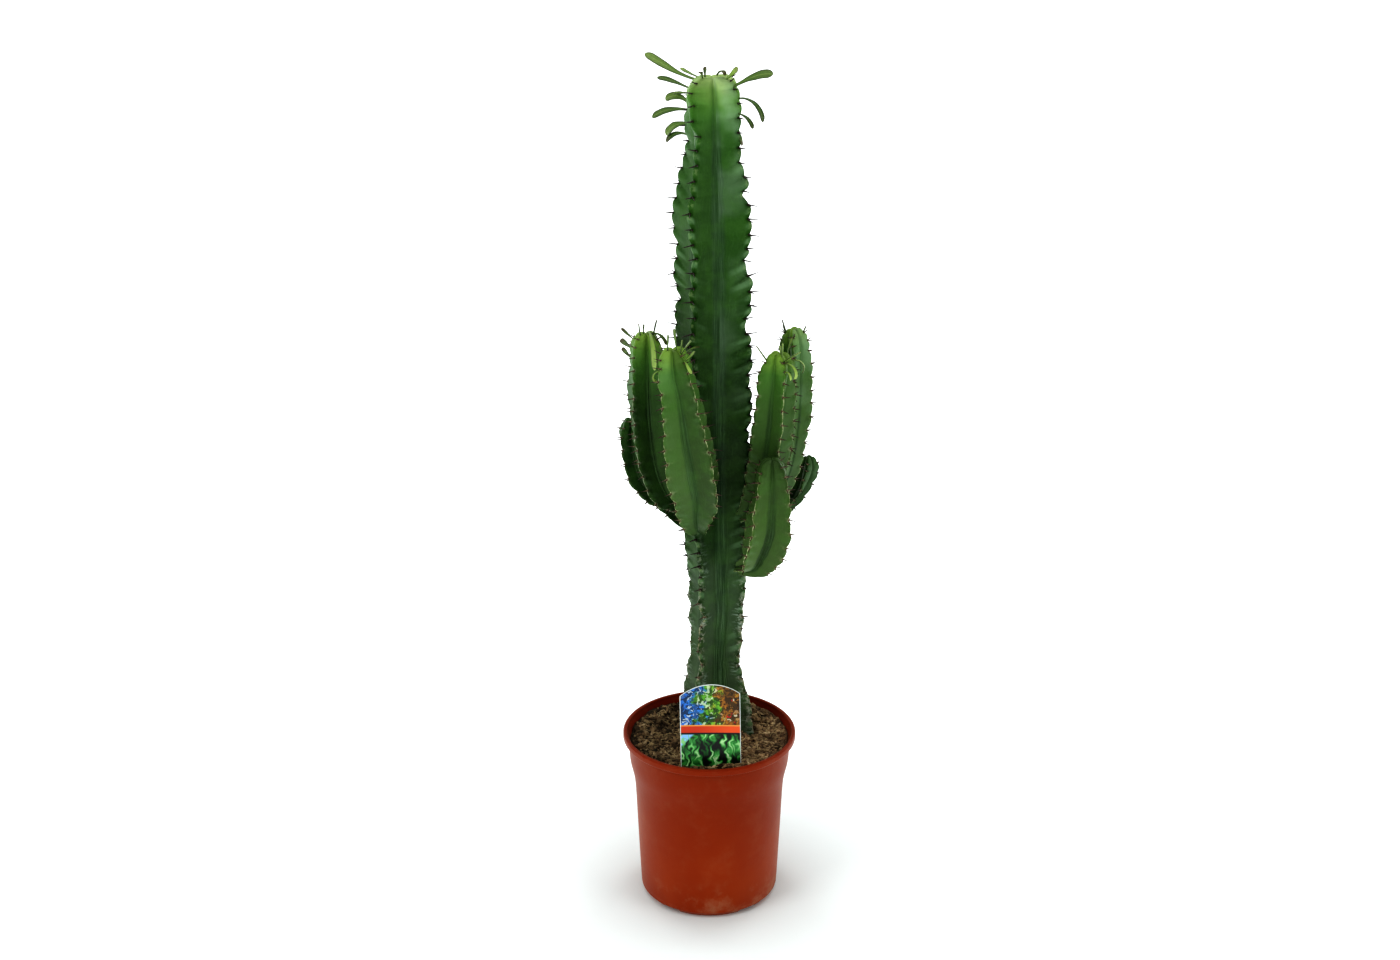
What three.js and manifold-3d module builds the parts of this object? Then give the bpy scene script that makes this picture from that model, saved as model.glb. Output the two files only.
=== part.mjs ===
// A potted candelabra euphorbia: one four-ribbed spiny main stem with seven ribbed branches and a few
// young leaves, in potting mix in a plastic nursery pot, with a picture label stuck in beside it.
// Millimetres, +Z up. The pot's axis is the Z axis, its foot stands on z = 0, and -Y is the front.

import * as THREE from "three";
import { mergeVertices } from "three/addons/utils/BufferGeometryUtils.js";
import Module from "manifold-3d";

const wasm = await Module();
wasm.setup();

// ---- driving dimensions ----

const SEAT_GAP = 0.3; // clearance between pieces that lie against each other

const POT = {
  height: 174,
  wall: 1.8,
  lipRadius: 85, // outside of the rolled lip
  lipHeight: 6,
  collarRadius: 79, // collar under the lip
  collarHeight: 26,
  bodyTopRadius: 74.5,
  bodyFootRadius: 68,
  footHeight: 5, // chamfer between the foot ring and the body
  footRadius: 63.5,
  floorTop: 5,
  floorUnder: 2.5, // the floor stands this far off the ground between ring and middle pad
  padRadius: 16,
  ringWidth: 3,
  segments: 32,
};
const FOOT_NOTCHES = { count: 5, width: 18, height: 3, firstAngle: -36 };
const DRAIN_HOLES = { count: 8, radius: 4.5, onCircle: 46 };

const SOIL = { level: 162, moundHeight: 4, moundReach: 48, lump: 0.9 };
const SOIL_RINGS = [0.22, 0.45, 0.66, 0.84, 1]; // shares of the soil's top radius

const LABEL = {
  width: 58,
  thickness: 0.7,
  height: 86, // above the soil
  archRise: 10,
  stakeWidth: 12,
  stakeLength: 27,
  centre: [1.5, -64],
  yaw: 6, // degrees, right side further back
  lean: 10, // degrees, top further back
};

// Ribs stand a quarter turn apart. A heading is measured in degrees from the front (-Y) towards +X,
// and belongs to the first rib at the stem's tip. A path runs from the root end to the tip, and each
// of its points is x, y, z and the reach of the ribs from the stem's axis.
const MAIN_STEM = {
  name: "main_stem",
  path: [
    [6.5, 30, 104, 15],
    [6.5, 30, 122, 28],
    [6.6, 30, 148, 38.5],
    [6.3, 30, 176, 39.3],
    [5.8, 30, 205, 34.5],
    [5.9, 30, 232, 29.5],
    [6.7, 30, 262, 28.4],
    [7.4, 30, 299, 30.4],
    [5.9, 30, 352, 32.8],
    [4.4, 30, 404, 35.8],
    [3.2, 30, 454, 38.2],
    [2.4, 30, 504, 39.8],
    [2.7, 30, 560, 40.2],
    [2.9, 30, 602, 40],
    [2.2, 30, 640, 39.3],
    [1.6, 30, 672, 39.8],
    [1.8, 30, 704, 37.6],
    [2.2, 30, 734, 31],
    [2.4, 30, 760, 29.6],
    [2.3, 30, 785, 29],
    [1.5, 30, 808, 28],
  ],
  heading: -27,
  twist: -6, // turn of the ribs at the root end against the tip
  groove: 0.46, // reach of the grooves, as a share of the ribs' reach
  flank: true, // the ribs' sides are hollow, with one more edge along them
  marginHalf: 1.8,
  areoleSpacing: 13.6,
  tooth: 2,
  wave: 1.6,
  spineLengths: [3, 3, 5.5, 6, 6, 3.2], // from the root end to the tip
  bareLength: 66, // plain foot without areoles, down in the soil
  tipLength: 21,
  tipSquareness: 2.6,
};

// Dents in a rib's edge: rib number, height, depth (minus swells the edge) and half length.
const RIB_DENTS = [
  [1, 168, -5, 14],
  [1, 699, 4, 7],
  [1, 647, 4, 7],
  [1, 596, 2.5, 9],
  [0, 283, 2.5, 8],
  [3, 620, 2.5, 8],
  [2, 560, 3, 9],
];

const AREOLE_HALF = 1.6; // half the height of an areole, which carries a pair of spines
const FLANK = { out: 0.58, half: 0.19 }; // where a hollow flank bends, as shares of the ribs' reach
const TIP_DIP = 0.6; // how far the growing point lies below the rounded ends of the ribs

// What the branches have in common.
const BRANCH = {
  twist: 0,
  groove: 0.48,
  flank: false,
  marginHalf: 1.4,
  areoleSpacing: 13,
  tooth: 1.3,
  wave: 0.8,
  spineLengths: [3.5, 4, 3.5],
  bareLength: 22,
  tipLength: 24,
  tipSquareness: 2,
};

const BRANCHES = [
  {
    name: "branch_left_front",
    path: [
      [-9, 9, 381, 7],
      [-12, -3, 392, 13],
      [-13, -13, 410, 22],
      [-13, -20, 430, 28.5],
      [-17, -27, 458, 31.5],
      [-22, -30, 491, 27.5],
      [-27, -32, 527, 23.5],
      [-32, -33, 552, 20],
      [-34, -34, 575, 19],
    ],
    heading: -48,
  },
  {
    name: "branch_left_tall",
    path: [
      [-17, 42, 392, 6.5],
      [-26, 42, 396, 9.5],
      [-34, 35, 402, 13],
      [-43, 29, 414, 17.5],
      [-52, 26, 441, 21.4],
      [-57, 25, 476, 22.4],
      [-59, 25, 506, 22.3],
      [-59, 25, 545, 20],
      [-59, 25, 573, 18],
    ],
    heading: -37,
  },
  {
    name: "branch_left_small",
    path: [
      [-18, 45, 370, 5.5],
      [-26, 50, 374, 7.5],
      [-35, 55, 382, 9],
      [-49, 58, 396, 11.5],
      [-65, 56, 413, 14],
      [-72, 56, 432, 14.8],
      [-75, 56, 456, 14.6],
      [-76, 56, 479, 13],
    ],
    heading: -40,
  },
  {
    name: "branch_right_tall",
    path: [
      [29, 17, 391, 6.5],
      [37, 14, 400, 10.5],
      [45, 14, 415, 16],
      [53, 14, 440, 20.5],
      [58, 14, 470, 21.4],
      [61, 14, 510, 20.2],
      [63, 14, 537, 17.5],
      [63, 14, 557, 16],
    ],
    heading: -70,
  },
  {
    name: "branch_right_back",
    path: [
      [19, 55, 371, 5.5],
      [27, 58, 376, 7.5],
      [44, 56, 385, 9.5],
      [64, 52, 404, 12],
      [75, 48, 433, 13.7],
      [80, 46, 469, 14.7],
      [82, 46, 509, 15.3],
      [81, 46, 549, 14.2],
      [78, 46, 571, 13],
    ],
    heading: -84,
    tipSquareness: 2.6,
  },
  {
    name: "branch_right_low",
    path: [
      [27, 17, 338, 6.5],
      [37, 9, 343, 11],
      [43, 1, 351, 17],
      [48, -8, 366, 22.5],
      [55, -18, 392, 26.5],
      [57, -24, 420, 24.5],
      [57, -26, 445, 19.5],
      [57, -26, 467, 17],
    ],
    heading: -42,
  },
  {
    name: "branch_right_small",
    path: [
      [18, 56, 356, 5],
      [27, 61, 360, 7],
      [42, 64, 366, 7.5],
      [64, 64, 377, 8.5],
      [83, 66, 391, 9.4],
      [93, 67, 406, 12],
      [97, 67, 423, 12],
      [97, 67, 436, 11.5],
    ],
    heading: -30,
  },
].map((branch) => ({ ...BRANCH, ...branch }));

// Leaves by stem: rib number, distance below the tip, length, width, rise above the level where the
// leaf leaves the rib, bend along its length (minus is downwards), turn to the side and roll (degrees).
const LEAF_THICKNESS = 0.9;
const LEAF_ROOT = 3; // how far a leaf's root is sunk in the rib
const LEAVES = {
  main_stem: [
    [3, 6, 59, 8, 8, 15.2, -6, -40],
    [3, 3.5, 21, 4.1, 8, 10, -14, -20],
    [3, 15, 34, 6, 18, -14, 0, -35],
    [3, 29.5, 25, 8.6, 46, -80, 0, -56],
    [3, 19, 14, 4.1, 4, -10, 12, -30],
    [3, 34.5, 39, 6.4, 4, -38, 0, -40],
    [3, 47, 25, 9.6, 6, -69.6, 0, -60],
    [3, 57, 22, 4.6, 18, -75, 0, -10],
    [1, 10, 42, 7.6, 29, -26, 0, 40],
    [1, 3.5, 15, 4.1, 36, 0, -10, 60],
    [1, 20, 35, 4.6, 22, -111, 0, 0],
    [1, 32, 20, 4.1, 4, -78, 0, 0],
    [1, 43, 15, 4.1, -60, -24, 0, 0],
    [0, 2, 8, 2.8, 80, -96, 20, 0],
    [0, 1, 5, 3, 86, 0, 80, 0],
    [1, 0.4, 12, 2.8, 50, -114, -20, 0],
    [2, 14, 30, 7.6, 6, -24, 40, 0],
    [2, 20, 26, 6.6, 4, -45, 40, 0],
    [2, 33, 28, 7.6, 0, -60, 34, 0],
    [2, 46, 18, 5.6, 0, -65, 30, 0],
  ],
  branch_left_front: [
    [0, 1.5, 12, 3, 96, 2, 0, 0],
    [1, 1.5, 17, 3.2, 94, 4, -20, 0],
    [3, 10, 6, 3.2, 60, 20, 0, 0],
    [1, 4, 11, 3.6, 70, 10, 20, 40],
    [1, 5, 16, 4.1, 56, -10, 20, 30],
    [1, 11, 18, 4.2, 36, 8, 0, 60],
    [1, 8, 14, 4, -22, -24, -6, 30],
    [2, 10, 15, 4.6, 20, -30, 0, 0],
    [0, 17, 14, 4.4, 14, -177, -32, 40],
  ],
  branch_left_tall: [
    [3, 11, 15, 3.6, 28, 4, 0, -40],
    [3, 20, 13, 5.6, 24, 4, 0, -60],
    [3, 30, 12, 4.6, 34, 6, 0, -60],
    [0, 3.5, 10, 3, 84, 0, -50, 0],
    [0, 1, 6, 2.8, 86, 0, 90, 0],
    [1, 3, 13, 3.6, 76, 0, 20, 0],
    [1, 1.5, 20, 4, 30, -104, 0, 20],
    [1, 0.5, 52, 7, 24, -112, -43, 40],
    [2, 10, 15, 4.6, 10, -20, 40, 0],
  ],
  branch_right_tall: [
    [0, 8, 16, 2.8, 56, 0, 0, 0],
    [1, 3.5, 8, 2.8, 100, 0, 10, 0],
    [1, 6, 14, 3.2, 84, 6, 20, 0],
    [1, 8, 26, 3, 36, -6, 20, 20],
    [1, 9, 23, 4, 26, -156, 30, 30],
    [1, 18, 12, 3.2, 66, -170, 20, 30],
    [2, 5, 14, 3.6, 70, -10, 20, 0],
    [2, 11, 21, 4.1, 20, -144, 0, 30],
  ],
  branch_right_back: [
    [0, 5, 11, 3.2, 82, 0, 20, 0],
    [0, 6, 6, 2.8, 80, 0, -20, 0],
    [1, 11, 5, 2.8, 66, 10, 60, 0],
    [2, 7, 4.5, 3, 60, -10, 20, 0],
  ],
};

// ---- meshes and solids ----

function meshGeometry(points, triangles) {
  const geometry = new THREE.BufferGeometry();
  geometry.setAttribute("position", new THREE.Float32BufferAttribute(points, 3));
  geometry.setIndex(triangles);
  return geometry;
}

function toSolid(geometry) {
  const bare = geometry.clone();
  bare.deleteAttribute("normal");
  bare.deleteAttribute("uv");
  const merged = mergeVertices(bare, 1e-4);
  return new wasm.Manifold(
    new wasm.Mesh({
      numProp: 3,
      vertProperties: new Float32Array(merged.attributes.position.array),
      triVerts: new Uint32Array(merged.index.array),
    })
  );
}

function toGeometry(solid) {
  const { vertProperties, triVerts, numProp } = solid.getMesh();
  const points = [];
  for (let i = 0; i < vertProperties.length; i += numProp) {
    points.push(vertProperties[i], vertProperties[i + 1], vertProperties[i + 2]);
  }
  return meshGeometry(points, Array.from(triVerts));
}

function largestBody(solid) {
  return solid.decompose().reduce((best, body) => (body.volume() > best.volume() ? body : best));
}

// Repeatable numbers between -1 and 1.
function seededNoise(seed) {
  let state = seed;
  return () => {
    state = (Math.imul(state, 1664525) + 1013904223) >>> 0;
    return state / 2 ** 31 - 1;
  };
}

// ---- ribbed stems ----

// Smooth value through the keys at the place t, counted in keys.
function along(keys, t) {
  const i = Math.min(Math.floor(t), keys.length - 2);
  const u = t - i;
  const near = [i - 1, i, i + 1, i + 2].map((k) => THREE.MathUtils.clamp(k, 0, keys.length - 1));
  const [a, b, c, d] = near.map((k) => keys[k]);
  return b.map((_, n) => {
    const bend = (2 * a[n] - 5 * b[n] + 4 * c[n] - d[n]) * u * u;
    const swing = (3 * (b[n] - c[n]) + d[n] - a[n]) * u * u * u;
    return b[n] + 0.5 * ((c[n] - a[n]) * u + bend + swing);
  });
}

// The stem's axis as close steps, each with its length from the root end, point, direction, rib reach
// and the heading of the first rib, which is carried down from the tip without spinning.
function traceAxis(stem) {
  const stepsPerKey = 12;
  const count = (stem.path.length - 1) * stepsPerKey;
  const steps = [];
  let length = 0;
  for (let i = 0; i <= count; i++) {
    const [x, y, z, reach] = along(stem.path, i / stepsPerKey);
    const point = new THREE.Vector3(x, y, z);
    if (i > 0) length += point.distanceTo(steps[i - 1].point);
    steps.push({ length, point, reach });
  }
  steps.forEach((step, i) => {
    const before = steps[Math.max(0, i - 1)].point;
    const after = steps[Math.min(count, i + 1)].point;
    step.forward = after.clone().sub(before).normalize();
  });
  const heading = THREE.MathUtils.degToRad(stem.heading);
  let carried = new THREE.Vector3(Math.sin(heading), -Math.cos(heading), 0);
  for (let i = count; i >= 0; i--) {
    const { forward } = steps[i];
    carried = carried.clone().addScaledVector(forward, -carried.dot(forward)).normalize();
    steps[i].carried = carried;
  }
  const twist = THREE.MathUtils.degToRad(stem.twist);
  for (const step of steps) {
    step.first = step.carried.clone().applyAxisAngle(step.forward, twist * (1 - step.length / length));
    step.second = step.forward.clone().cross(step.first);
  }
  return steps;
}

// The axis at a length from the root end, with the ribs' reach drawn in over the rounded tip.
function axisAt(stem, steps, length) {
  const total = steps[steps.length - 1].length;
  const upper = steps.findIndex((step) => step.length >= Math.min(length, total));
  const [a, b] = [steps[Math.max(0, upper - 1)], steps[upper]];
  const share = b === a ? 0 : (Math.min(length, total) - a.length) / (b.length - a.length);
  const mix = (name) => a[name].clone().lerp(b[name], share);
  const intoTip = Math.max(0, (length - total + stem.tipLength) / stem.tipLength);
  const round = Math.max(0, 1 - intoTip ** stem.tipSquareness) ** (1 / stem.tipSquareness);
  return {
    length,
    point: mix("point"),
    forward: mix("forward").normalize(),
    first: mix("first").normalize(),
    second: mix("second").normalize(),
    reach: THREE.MathUtils.lerp(a.reach, b.reach, share) * round,
    intoTip,
  };
}

function ribDirections(at, rib) {
  const turn = (rib * Math.PI) / 2;
  const [across, along] = [Math.cos(turn), Math.sin(turn)];
  const out = at.first.clone().multiplyScalar(across).addScaledVector(at.second, along);
  const side = at.second.clone().multiplyScalar(across).addScaledVector(at.first, -along);
  return { out, side };
}

// How far a rib's edge is drawn in between the areoles and at dents, and how it sways to the sides.
function ribEdge(stem, rib, at, areole) {
  const swell = Math.min(1, at.reach / 12);
  const bare = at.length < stem.bareLength;
  let drawnIn = areole || bare ? 0 : stem.tooth * swell;
  for (const [dented, height, depth, half] of stem === MAIN_STEM ? RIB_DENTS : []) {
    const away = (at.point.z - height) / half;
    if (dented === rib) drawnIn += depth * Math.exp(-away * away);
  }
  const wave = 0.7 * Math.sin(at.length / 9.3 + rib * 2.1) + 0.5 * Math.sin(at.length / 4.1 + rib * 1.3);
  return { drawnIn, sway: bare ? 0 : wave * stem.wave * swell };
}

// Lengths along the stem where each edge of the mesh has its points. Areoles of neighbouring ribs
// are half a spacing apart, and each has a point below and one above it on the rib's edge.
function stationsOf(stem, steps) {
  const total = steps[steps.length - 1].length;
  const tip = [0.72, 0.9, 0.985].map((share) => total - stem.tipLength * (1 - share));
  const bare = [];
  for (let length = 0; length < stem.bareLength - 4; length += 12) bare.push(length);
  const lastAreole = tip[0] - 2 * AREOLE_HALF;
  const ribs = [0, 1, 2, 3].map((rib) => {
    const first = stem.bareLength + ((rib % 2) + 0.5) * (stem.areoleSpacing / 2);
    const areoles = [];
    for (let length = first; length < lastAreole; length += stem.areoleSpacing) areoles.push(length);
    const valleys = areoles.map((length) => length - stem.areoleSpacing / 2);
    const edge = areoles.flatMap((length, i) => [
      valleys[i],
      length - AREOLE_HALF,
      length + AREOLE_HALF,
    ]);
    return { areoles, edge: [...bare, ...edge, ...tip], side: [...bare, ...valleys, ...tip] };
  });
  return { ribs, total };
}

// A closed ribbed stem. Its edges run from the root end to the tip: for each rib a groove, a hollow
// flank where the stem has one, and the two corners of the rib's narrow outer face. Each areole on
// that face rises to a pair of spines. grow widens the stem all over, for cutting its seat in others.
function ribbedStem(stem, steps, { grow = 0, spineAllowed = () => true } = {}) {
  const points = [];
  const triangles = [];
  const noise = seededNoise(Math.round(stem.path[0][2] * 10));
  const { ribs, total } = stationsOf(stem, steps);
  const addPoint = (point) => points.push(...point.toArray()) / 3 - 1;

  const placed = (at, directions, outward, sideways) => {
    const point = at.point.clone();
    if (at.length === 0) point.addScaledVector(at.forward, -grow);
    return point.addScaledVector(directions.out, outward).addScaledVector(directions.side, sideways);
  };
  const edgePoint = (rib, length, place) => {
    const at = axisAt(stem, steps, length);
    const directions = ribDirections(at, rib);
    const grooveReach = (at.reach * stem.groove + grow * 1.5) * Math.SQRT1_2;
    if (place === "groove") return placed(at, directions, grooveReach, -grooveReach);
    const hand = place.endsWith("Left") ? -1 : 1;
    const isAreole = ribs[rib].areoles.some((areole) => Math.abs(areole - length) < AREOLE_HALF + 0.1);
    const { drawnIn, sway } = ribEdge(stem, rib, at, isAreole);
    if (place.startsWith("flank")) {
      const sideways = hand * (at.reach * FLANK.half + grow) + sway * 0.4;
      return placed(at, directions, at.reach * FLANK.out + grow * 0.3, sideways);
    }
    const half = Math.min(stem.marginHalf, at.reach * 0.2);
    return placed(at, directions, at.reach - drawnIn + grow, hand * (half + grow) + sway);
  };

  const edges = [];
  for (let rib = 0; rib < 4; rib++) {
    const places = stem.flank
      ? ["groove", "flankLeft", "marginLeft", "marginRight", "flankRight"]
      : ["groove", "marginLeft", "marginRight"];
    for (const place of places) {
      const stations = place.startsWith("margin") ? ribs[rib].edge : ribs[rib].side;
      edges.push({ rib, place, stations, ids: stations.map((s) => addPoint(edgePoint(rib, s, place))) });
    }
  }

  const pointOf = (id) => new THREE.Vector3().fromArray(points, id * 3);
  const spine = (corners, at, out, side, hand) => {
    const lift = Math.min(0.9, at.intoTip) + 0.1 + 0.15 * noise();
    const direction = out.clone().addScaledVector(side, hand * (0.7 + 0.15 * noise()));
    direction.addScaledVector(at.forward, lift).normalize();
    const middle = new THREE.Vector3();
    for (const id of corners) middle.addScaledVector(pointOf(id), 1 / 3);
    const place = (at.length / total) * (stem.spineLengths.length - 1);
    const [spineLength] = along(stem.spineLengths.map((length) => [length]), place);
    const tip = middle.addScaledVector(direction, spineLength * (1 + 0.12 * noise()));
    if (!spineAllowed(tip)) {
      triangles.push(...corners);
      return;
    }
    const id = addPoint(tip);
    corners.forEach((corner, i) => triangles.push(corner, corners[(i + 1) % 3], id));
  };

  edges.forEach((left, n) => {
    const right = edges[(n + 1) % edges.length];
    const isOuterFace = left.place === "marginLeft";
    let [i, j] = [0, 0];
    while (i < left.ids.length - 1 || j < right.ids.length - 1) {
      const below = left.stations[i] + AREOLE_HALF;
      const isHere = (length) => Math.abs(length - below) < 1e-6;
      const areole = isOuterFace && ribs[left.rib].areoles.find(isHere);
      if (areole && i === j && grow === 0) {
        const at = axisAt(stem, steps, areole);
        const { out, side } = ribDirections(at, left.rib);
        const [a, b, c, d] = [left.ids[i], right.ids[j], right.ids[j + 1], left.ids[i + 1]];
        spine([a, c, d], at, out, side, -1);
        spine([a, b, c], at, out, side, 1);
        i += 1;
        j += 1;
        continue;
      }
      const leftNext = i < left.ids.length - 1 ? left.stations[i + 1] : Infinity;
      const rightNext = j < right.ids.length - 1 ? right.stations[j + 1] : Infinity;
      if (leftNext < rightNext) {
        triangles.push(left.ids[i], right.ids[j], left.ids[i + 1]);
        i += 1;
      } else {
        triangles.push(left.ids[i], right.ids[j], right.ids[j + 1]);
        j += 1;
      }
    }
  });

  const start = axisAt(stem, steps, 0);
  const root = addPoint(start.point.clone().addScaledVector(start.forward, -grow));
  const end = axisAt(stem, steps, total);
  const tip = addPoint(end.point.clone().addScaledVector(end.forward, grow - TIP_DIP));
  edges.forEach((left, n) => {
    const right = edges[(n + 1) % edges.length];
    triangles.push(right.ids[0], left.ids[0], root);
    triangles.push(left.ids.at(-1), right.ids.at(-1), tip);
  });
  return meshGeometry(points, triangles);
}

// A thin spoon-shaped blade whose root is sunk in the rib's edge.
function leafBlade(stem, steps, leaf) {
  const [rib, belowTip, length, width, rise, bend, turn, roll] = leaf;
  const total = steps[steps.length - 1].length;
  const at = axisAt(stem, steps, total - belowTip);
  const { out, side } = ribDirections(at, rib);
  const up = at.forward;
  const heading = out.clone().applyAxisAngle(up, THREE.MathUtils.degToRad(turn));
  const across = side.clone().applyAxisAngle(up, THREE.MathUtils.degToRad(turn));
  const shares = [0, 0.3, 0.58, 0.84, 1];
  const widths = [0.3, 0.36, 0.74, 1, 0.4];
  const point = at.point.clone().addScaledVector(out, Math.max(0, at.reach - LEAF_ROOT));
  const points = [];
  const triangles = [];
  let lastShare = 0;
  shares.forEach((share, n) => {
    const angleAt = (place) => THREE.MathUtils.degToRad(rise + bend * place);
    const middle = angleAt((share + lastShare) / 2);
    const run = (share - lastShare) * (length + LEAF_ROOT);
    point.addScaledVector(heading, run * Math.cos(middle)).addScaledVector(up, run * Math.sin(middle));
    lastShare = share;
    const angle = angleAt(share);
    const forward = heading.clone().multiplyScalar(Math.cos(angle)).addScaledVector(up, Math.sin(angle));
    const wide = across.clone().applyAxisAngle(forward, THREE.MathUtils.degToRad(roll));
    const normal = forward.clone().cross(wide).normalize();
    const corners = [[-1, -1], [-1, 1], [1, 1], [1, -1]];
    for (const [sideways, over] of corners) {
      const corner = point.clone().addScaledVector(wide, (sideways * width * widths[n]) / 2);
      points.push(...corner.addScaledVector(normal, (over * LEAF_THICKNESS) / 2).toArray());
    }
    if (n === 0) return;
    const [below, above] = [(n - 1) * 4, n * 4];
    for (let i = 0; i < 4; i++) {
      const j = (i + 1) % 4;
      triangles.push(below + i, above + i, above + j, below + i, above + j, below + j);
    }
  });
  const last = (shares.length - 1) * 4;
  triangles.push(0, 1, 2, 0, 2, 3, last, last + 2, last + 1, last, last + 3, last + 2);
  return meshGeometry(points, triangles);
}

// ---- the plant ----

const ALL_STEMS = [MAIN_STEM, ...BRANCHES];
const AXES = new Map(ALL_STEMS.map((stem) => [stem, traceAxis(stem)]));

// A spine tip has room where it stays clear of every other stem and of the soil.
function roomFor(stem) {
  const clearance = 4;
  return (tip) =>
    tip.z > SOIL.level + SOIL.moundHeight + clearance &&
    ALL_STEMS.every(
      (other) =>
        other === stem ||
        AXES.get(other).every((step) => step.point.distanceTo(tip) > step.reach + clearance)
    );
}

function stemSolid(stem) {
  let solid = toSolid(ribbedStem(stem, AXES.get(stem), { spineAllowed: roomFor(stem) }));
  for (const leaf of LEAVES[stem.name] ?? []) {
    solid = solid.add(toSolid(leafBlade(stem, AXES.get(stem), leaf)));
  }
  return solid;
}

const mainStemSolid = stemSolid(MAIN_STEM);
const mainStemSeat = toSolid(ribbedStem(MAIN_STEM, AXES.get(MAIN_STEM), { grow: SEAT_GAP * 1.3 }));

function branchSolid(branch) {
  return largestBody(stemSolid(branch).subtract(mainStemSeat));
}

// ---- the pot ----

const LIP_UNDERSIDE = POT.height - POT.lipHeight;
const COLLAR_FOOT = LIP_UNDERSIDE - POT.collarHeight;

// The inner wall, from the floor up to the mouth.
const POT_INSIDE = [
  [POT.bodyFootRadius - POT.wall - 1.5, POT.floorTop],
  [POT.bodyFootRadius - POT.wall, POT.floorTop + 4],
  [POT.bodyTopRadius - POT.wall, COLLAR_FOOT],
  [POT.collarRadius - POT.wall - 1.4, COLLAR_FOOT + 3],
  [POT.collarRadius - POT.wall, LIP_UNDERSIDE - 4],
  [POT.lipRadius - 4.5, POT.height - 2],
];

function potGeometry() {
  const outside = [
    [0, 0],
    [POT.padRadius, 0],
    [POT.padRadius + 1.5, POT.floorUnder],
    [POT.footRadius - POT.ringWidth - 1, POT.floorUnder],
    [POT.footRadius - POT.ringWidth, 0],
    [POT.footRadius, 0],
    [POT.bodyFootRadius, POT.footHeight],
    [POT.bodyTopRadius, COLLAR_FOOT],
    [POT.collarRadius - 1.4, COLLAR_FOOT + 1.4],
    [POT.collarRadius, LIP_UNDERSIDE - 6],
    [POT.collarRadius + 1.6, LIP_UNDERSIDE - 0.4],
    [POT.lipRadius - 1, LIP_UNDERSIDE],
    [POT.lipRadius, LIP_UNDERSIDE + 2.2],
    [POT.lipRadius - 0.6, POT.height - 1],
    [POT.lipRadius - 2.2, POT.height],
    [POT.lipRadius - 3.8, POT.height - 0.5],
  ];
  const profile = [...outside, ...POT_INSIDE.toReversed(), [0, POT.floorTop]];
  const shell = new THREE.LatheGeometry(profile.map(([r, z]) => new THREE.Vector2(r, z)), POT.segments);
  shell.rotateX(Math.PI / 2);
  let pot = toSolid(shell);
  const drain = new THREE.CylinderGeometry(DRAIN_HOLES.radius, DRAIN_HOLES.radius, POT.floorTop * 3, 12);
  drain.rotateX(Math.PI / 2);
  for (let i = 0; i < DRAIN_HOLES.count; i++) {
    const hole = drain.clone().translate(0, -DRAIN_HOLES.onCircle, 0);
    pot = pot.subtract(toSolid(hole.rotateZ((i * 2 * Math.PI) / DRAIN_HOLES.count)));
  }
  const notchDepth = 14;
  const notch = new THREE.BoxGeometry(FOOT_NOTCHES.width, notchDepth, FOOT_NOTCHES.height * 2);
  const firstNotch = THREE.MathUtils.degToRad(FOOT_NOTCHES.firstAngle);
  for (let i = 0; i < FOOT_NOTCHES.count; i++) {
    const angle = firstNotch + (i * 2 * Math.PI) / FOOT_NOTCHES.count;
    pot = pot.subtract(toSolid(notch.clone().translate(0, -POT.footRadius, 0).rotateZ(angle)));
  }
  return toGeometry(pot);
}

// ---- the label ----

// The label's outline, upright in its own XY plane with y = 0 at the soil's surface.
function labelOutline(extra) {
  const half = LABEL.width / 2 + extra;
  const shoulder = LABEL.height - LABEL.archRise;
  const archRadius = (half * half + LABEL.archRise ** 2) / (2 * LABEL.archRise);
  const sweep = Math.asin(half / archRadius);
  const foot = LABEL.stakeWidth / 2 + extra;
  const outline = new THREE.Shape();
  outline.moveTo(-half, -4);
  outline.lineTo(-foot, -10);
  outline.lineTo(-1.5 - extra, -LABEL.stakeLength - extra);
  outline.lineTo(1.5 + extra, -LABEL.stakeLength - extra);
  outline.lineTo(foot, -10);
  outline.lineTo(half, -4);
  outline.lineTo(half, shoulder);
  const archCentre = LABEL.height + extra - archRadius;
  outline.absarc(0, archCentre, archRadius, Math.PI / 2 - sweep, Math.PI / 2 + sweep);
  outline.closePath();
  return outline;
}

function labelGeometry(extra = 0) {
  const depth = LABEL.thickness + 2 * extra;
  const settings = { depth, bevelEnabled: false, curveSegments: 9 };
  return new THREE.ExtrudeGeometry(labelOutline(extra), settings).translate(0, 0, -depth / 2);
}

// The turn and place of the label in the pot.
const LABEL_PLACE = new THREE.Object3D();
LABEL_PLACE.rotation.set(
  Math.PI / 2 - THREE.MathUtils.degToRad(LABEL.lean),
  0,
  THREE.MathUtils.degToRad(LABEL.yaw),
  "ZXY"
);
LABEL_PLACE.position.set(LABEL.centre[0], LABEL.centre[1], SOIL.level);
LABEL_PLACE.updateMatrix();

// ---- the soil ----

function soilHeight(x, y) {
  const [stemX, stemY] = MAIN_STEM.path[2];
  const away = Math.hypot(x - stemX, y - stemY) / SOIL.moundReach;
  const lumps = Math.sin(x / 5.3 + 1.2) * Math.sin(y / 4.7) + Math.sin((x + y) / 3.9) * 0.5;
  return SOIL.level + SOIL.moundHeight * Math.exp(-away * away) + SOIL.lump * lumps;
}

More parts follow.
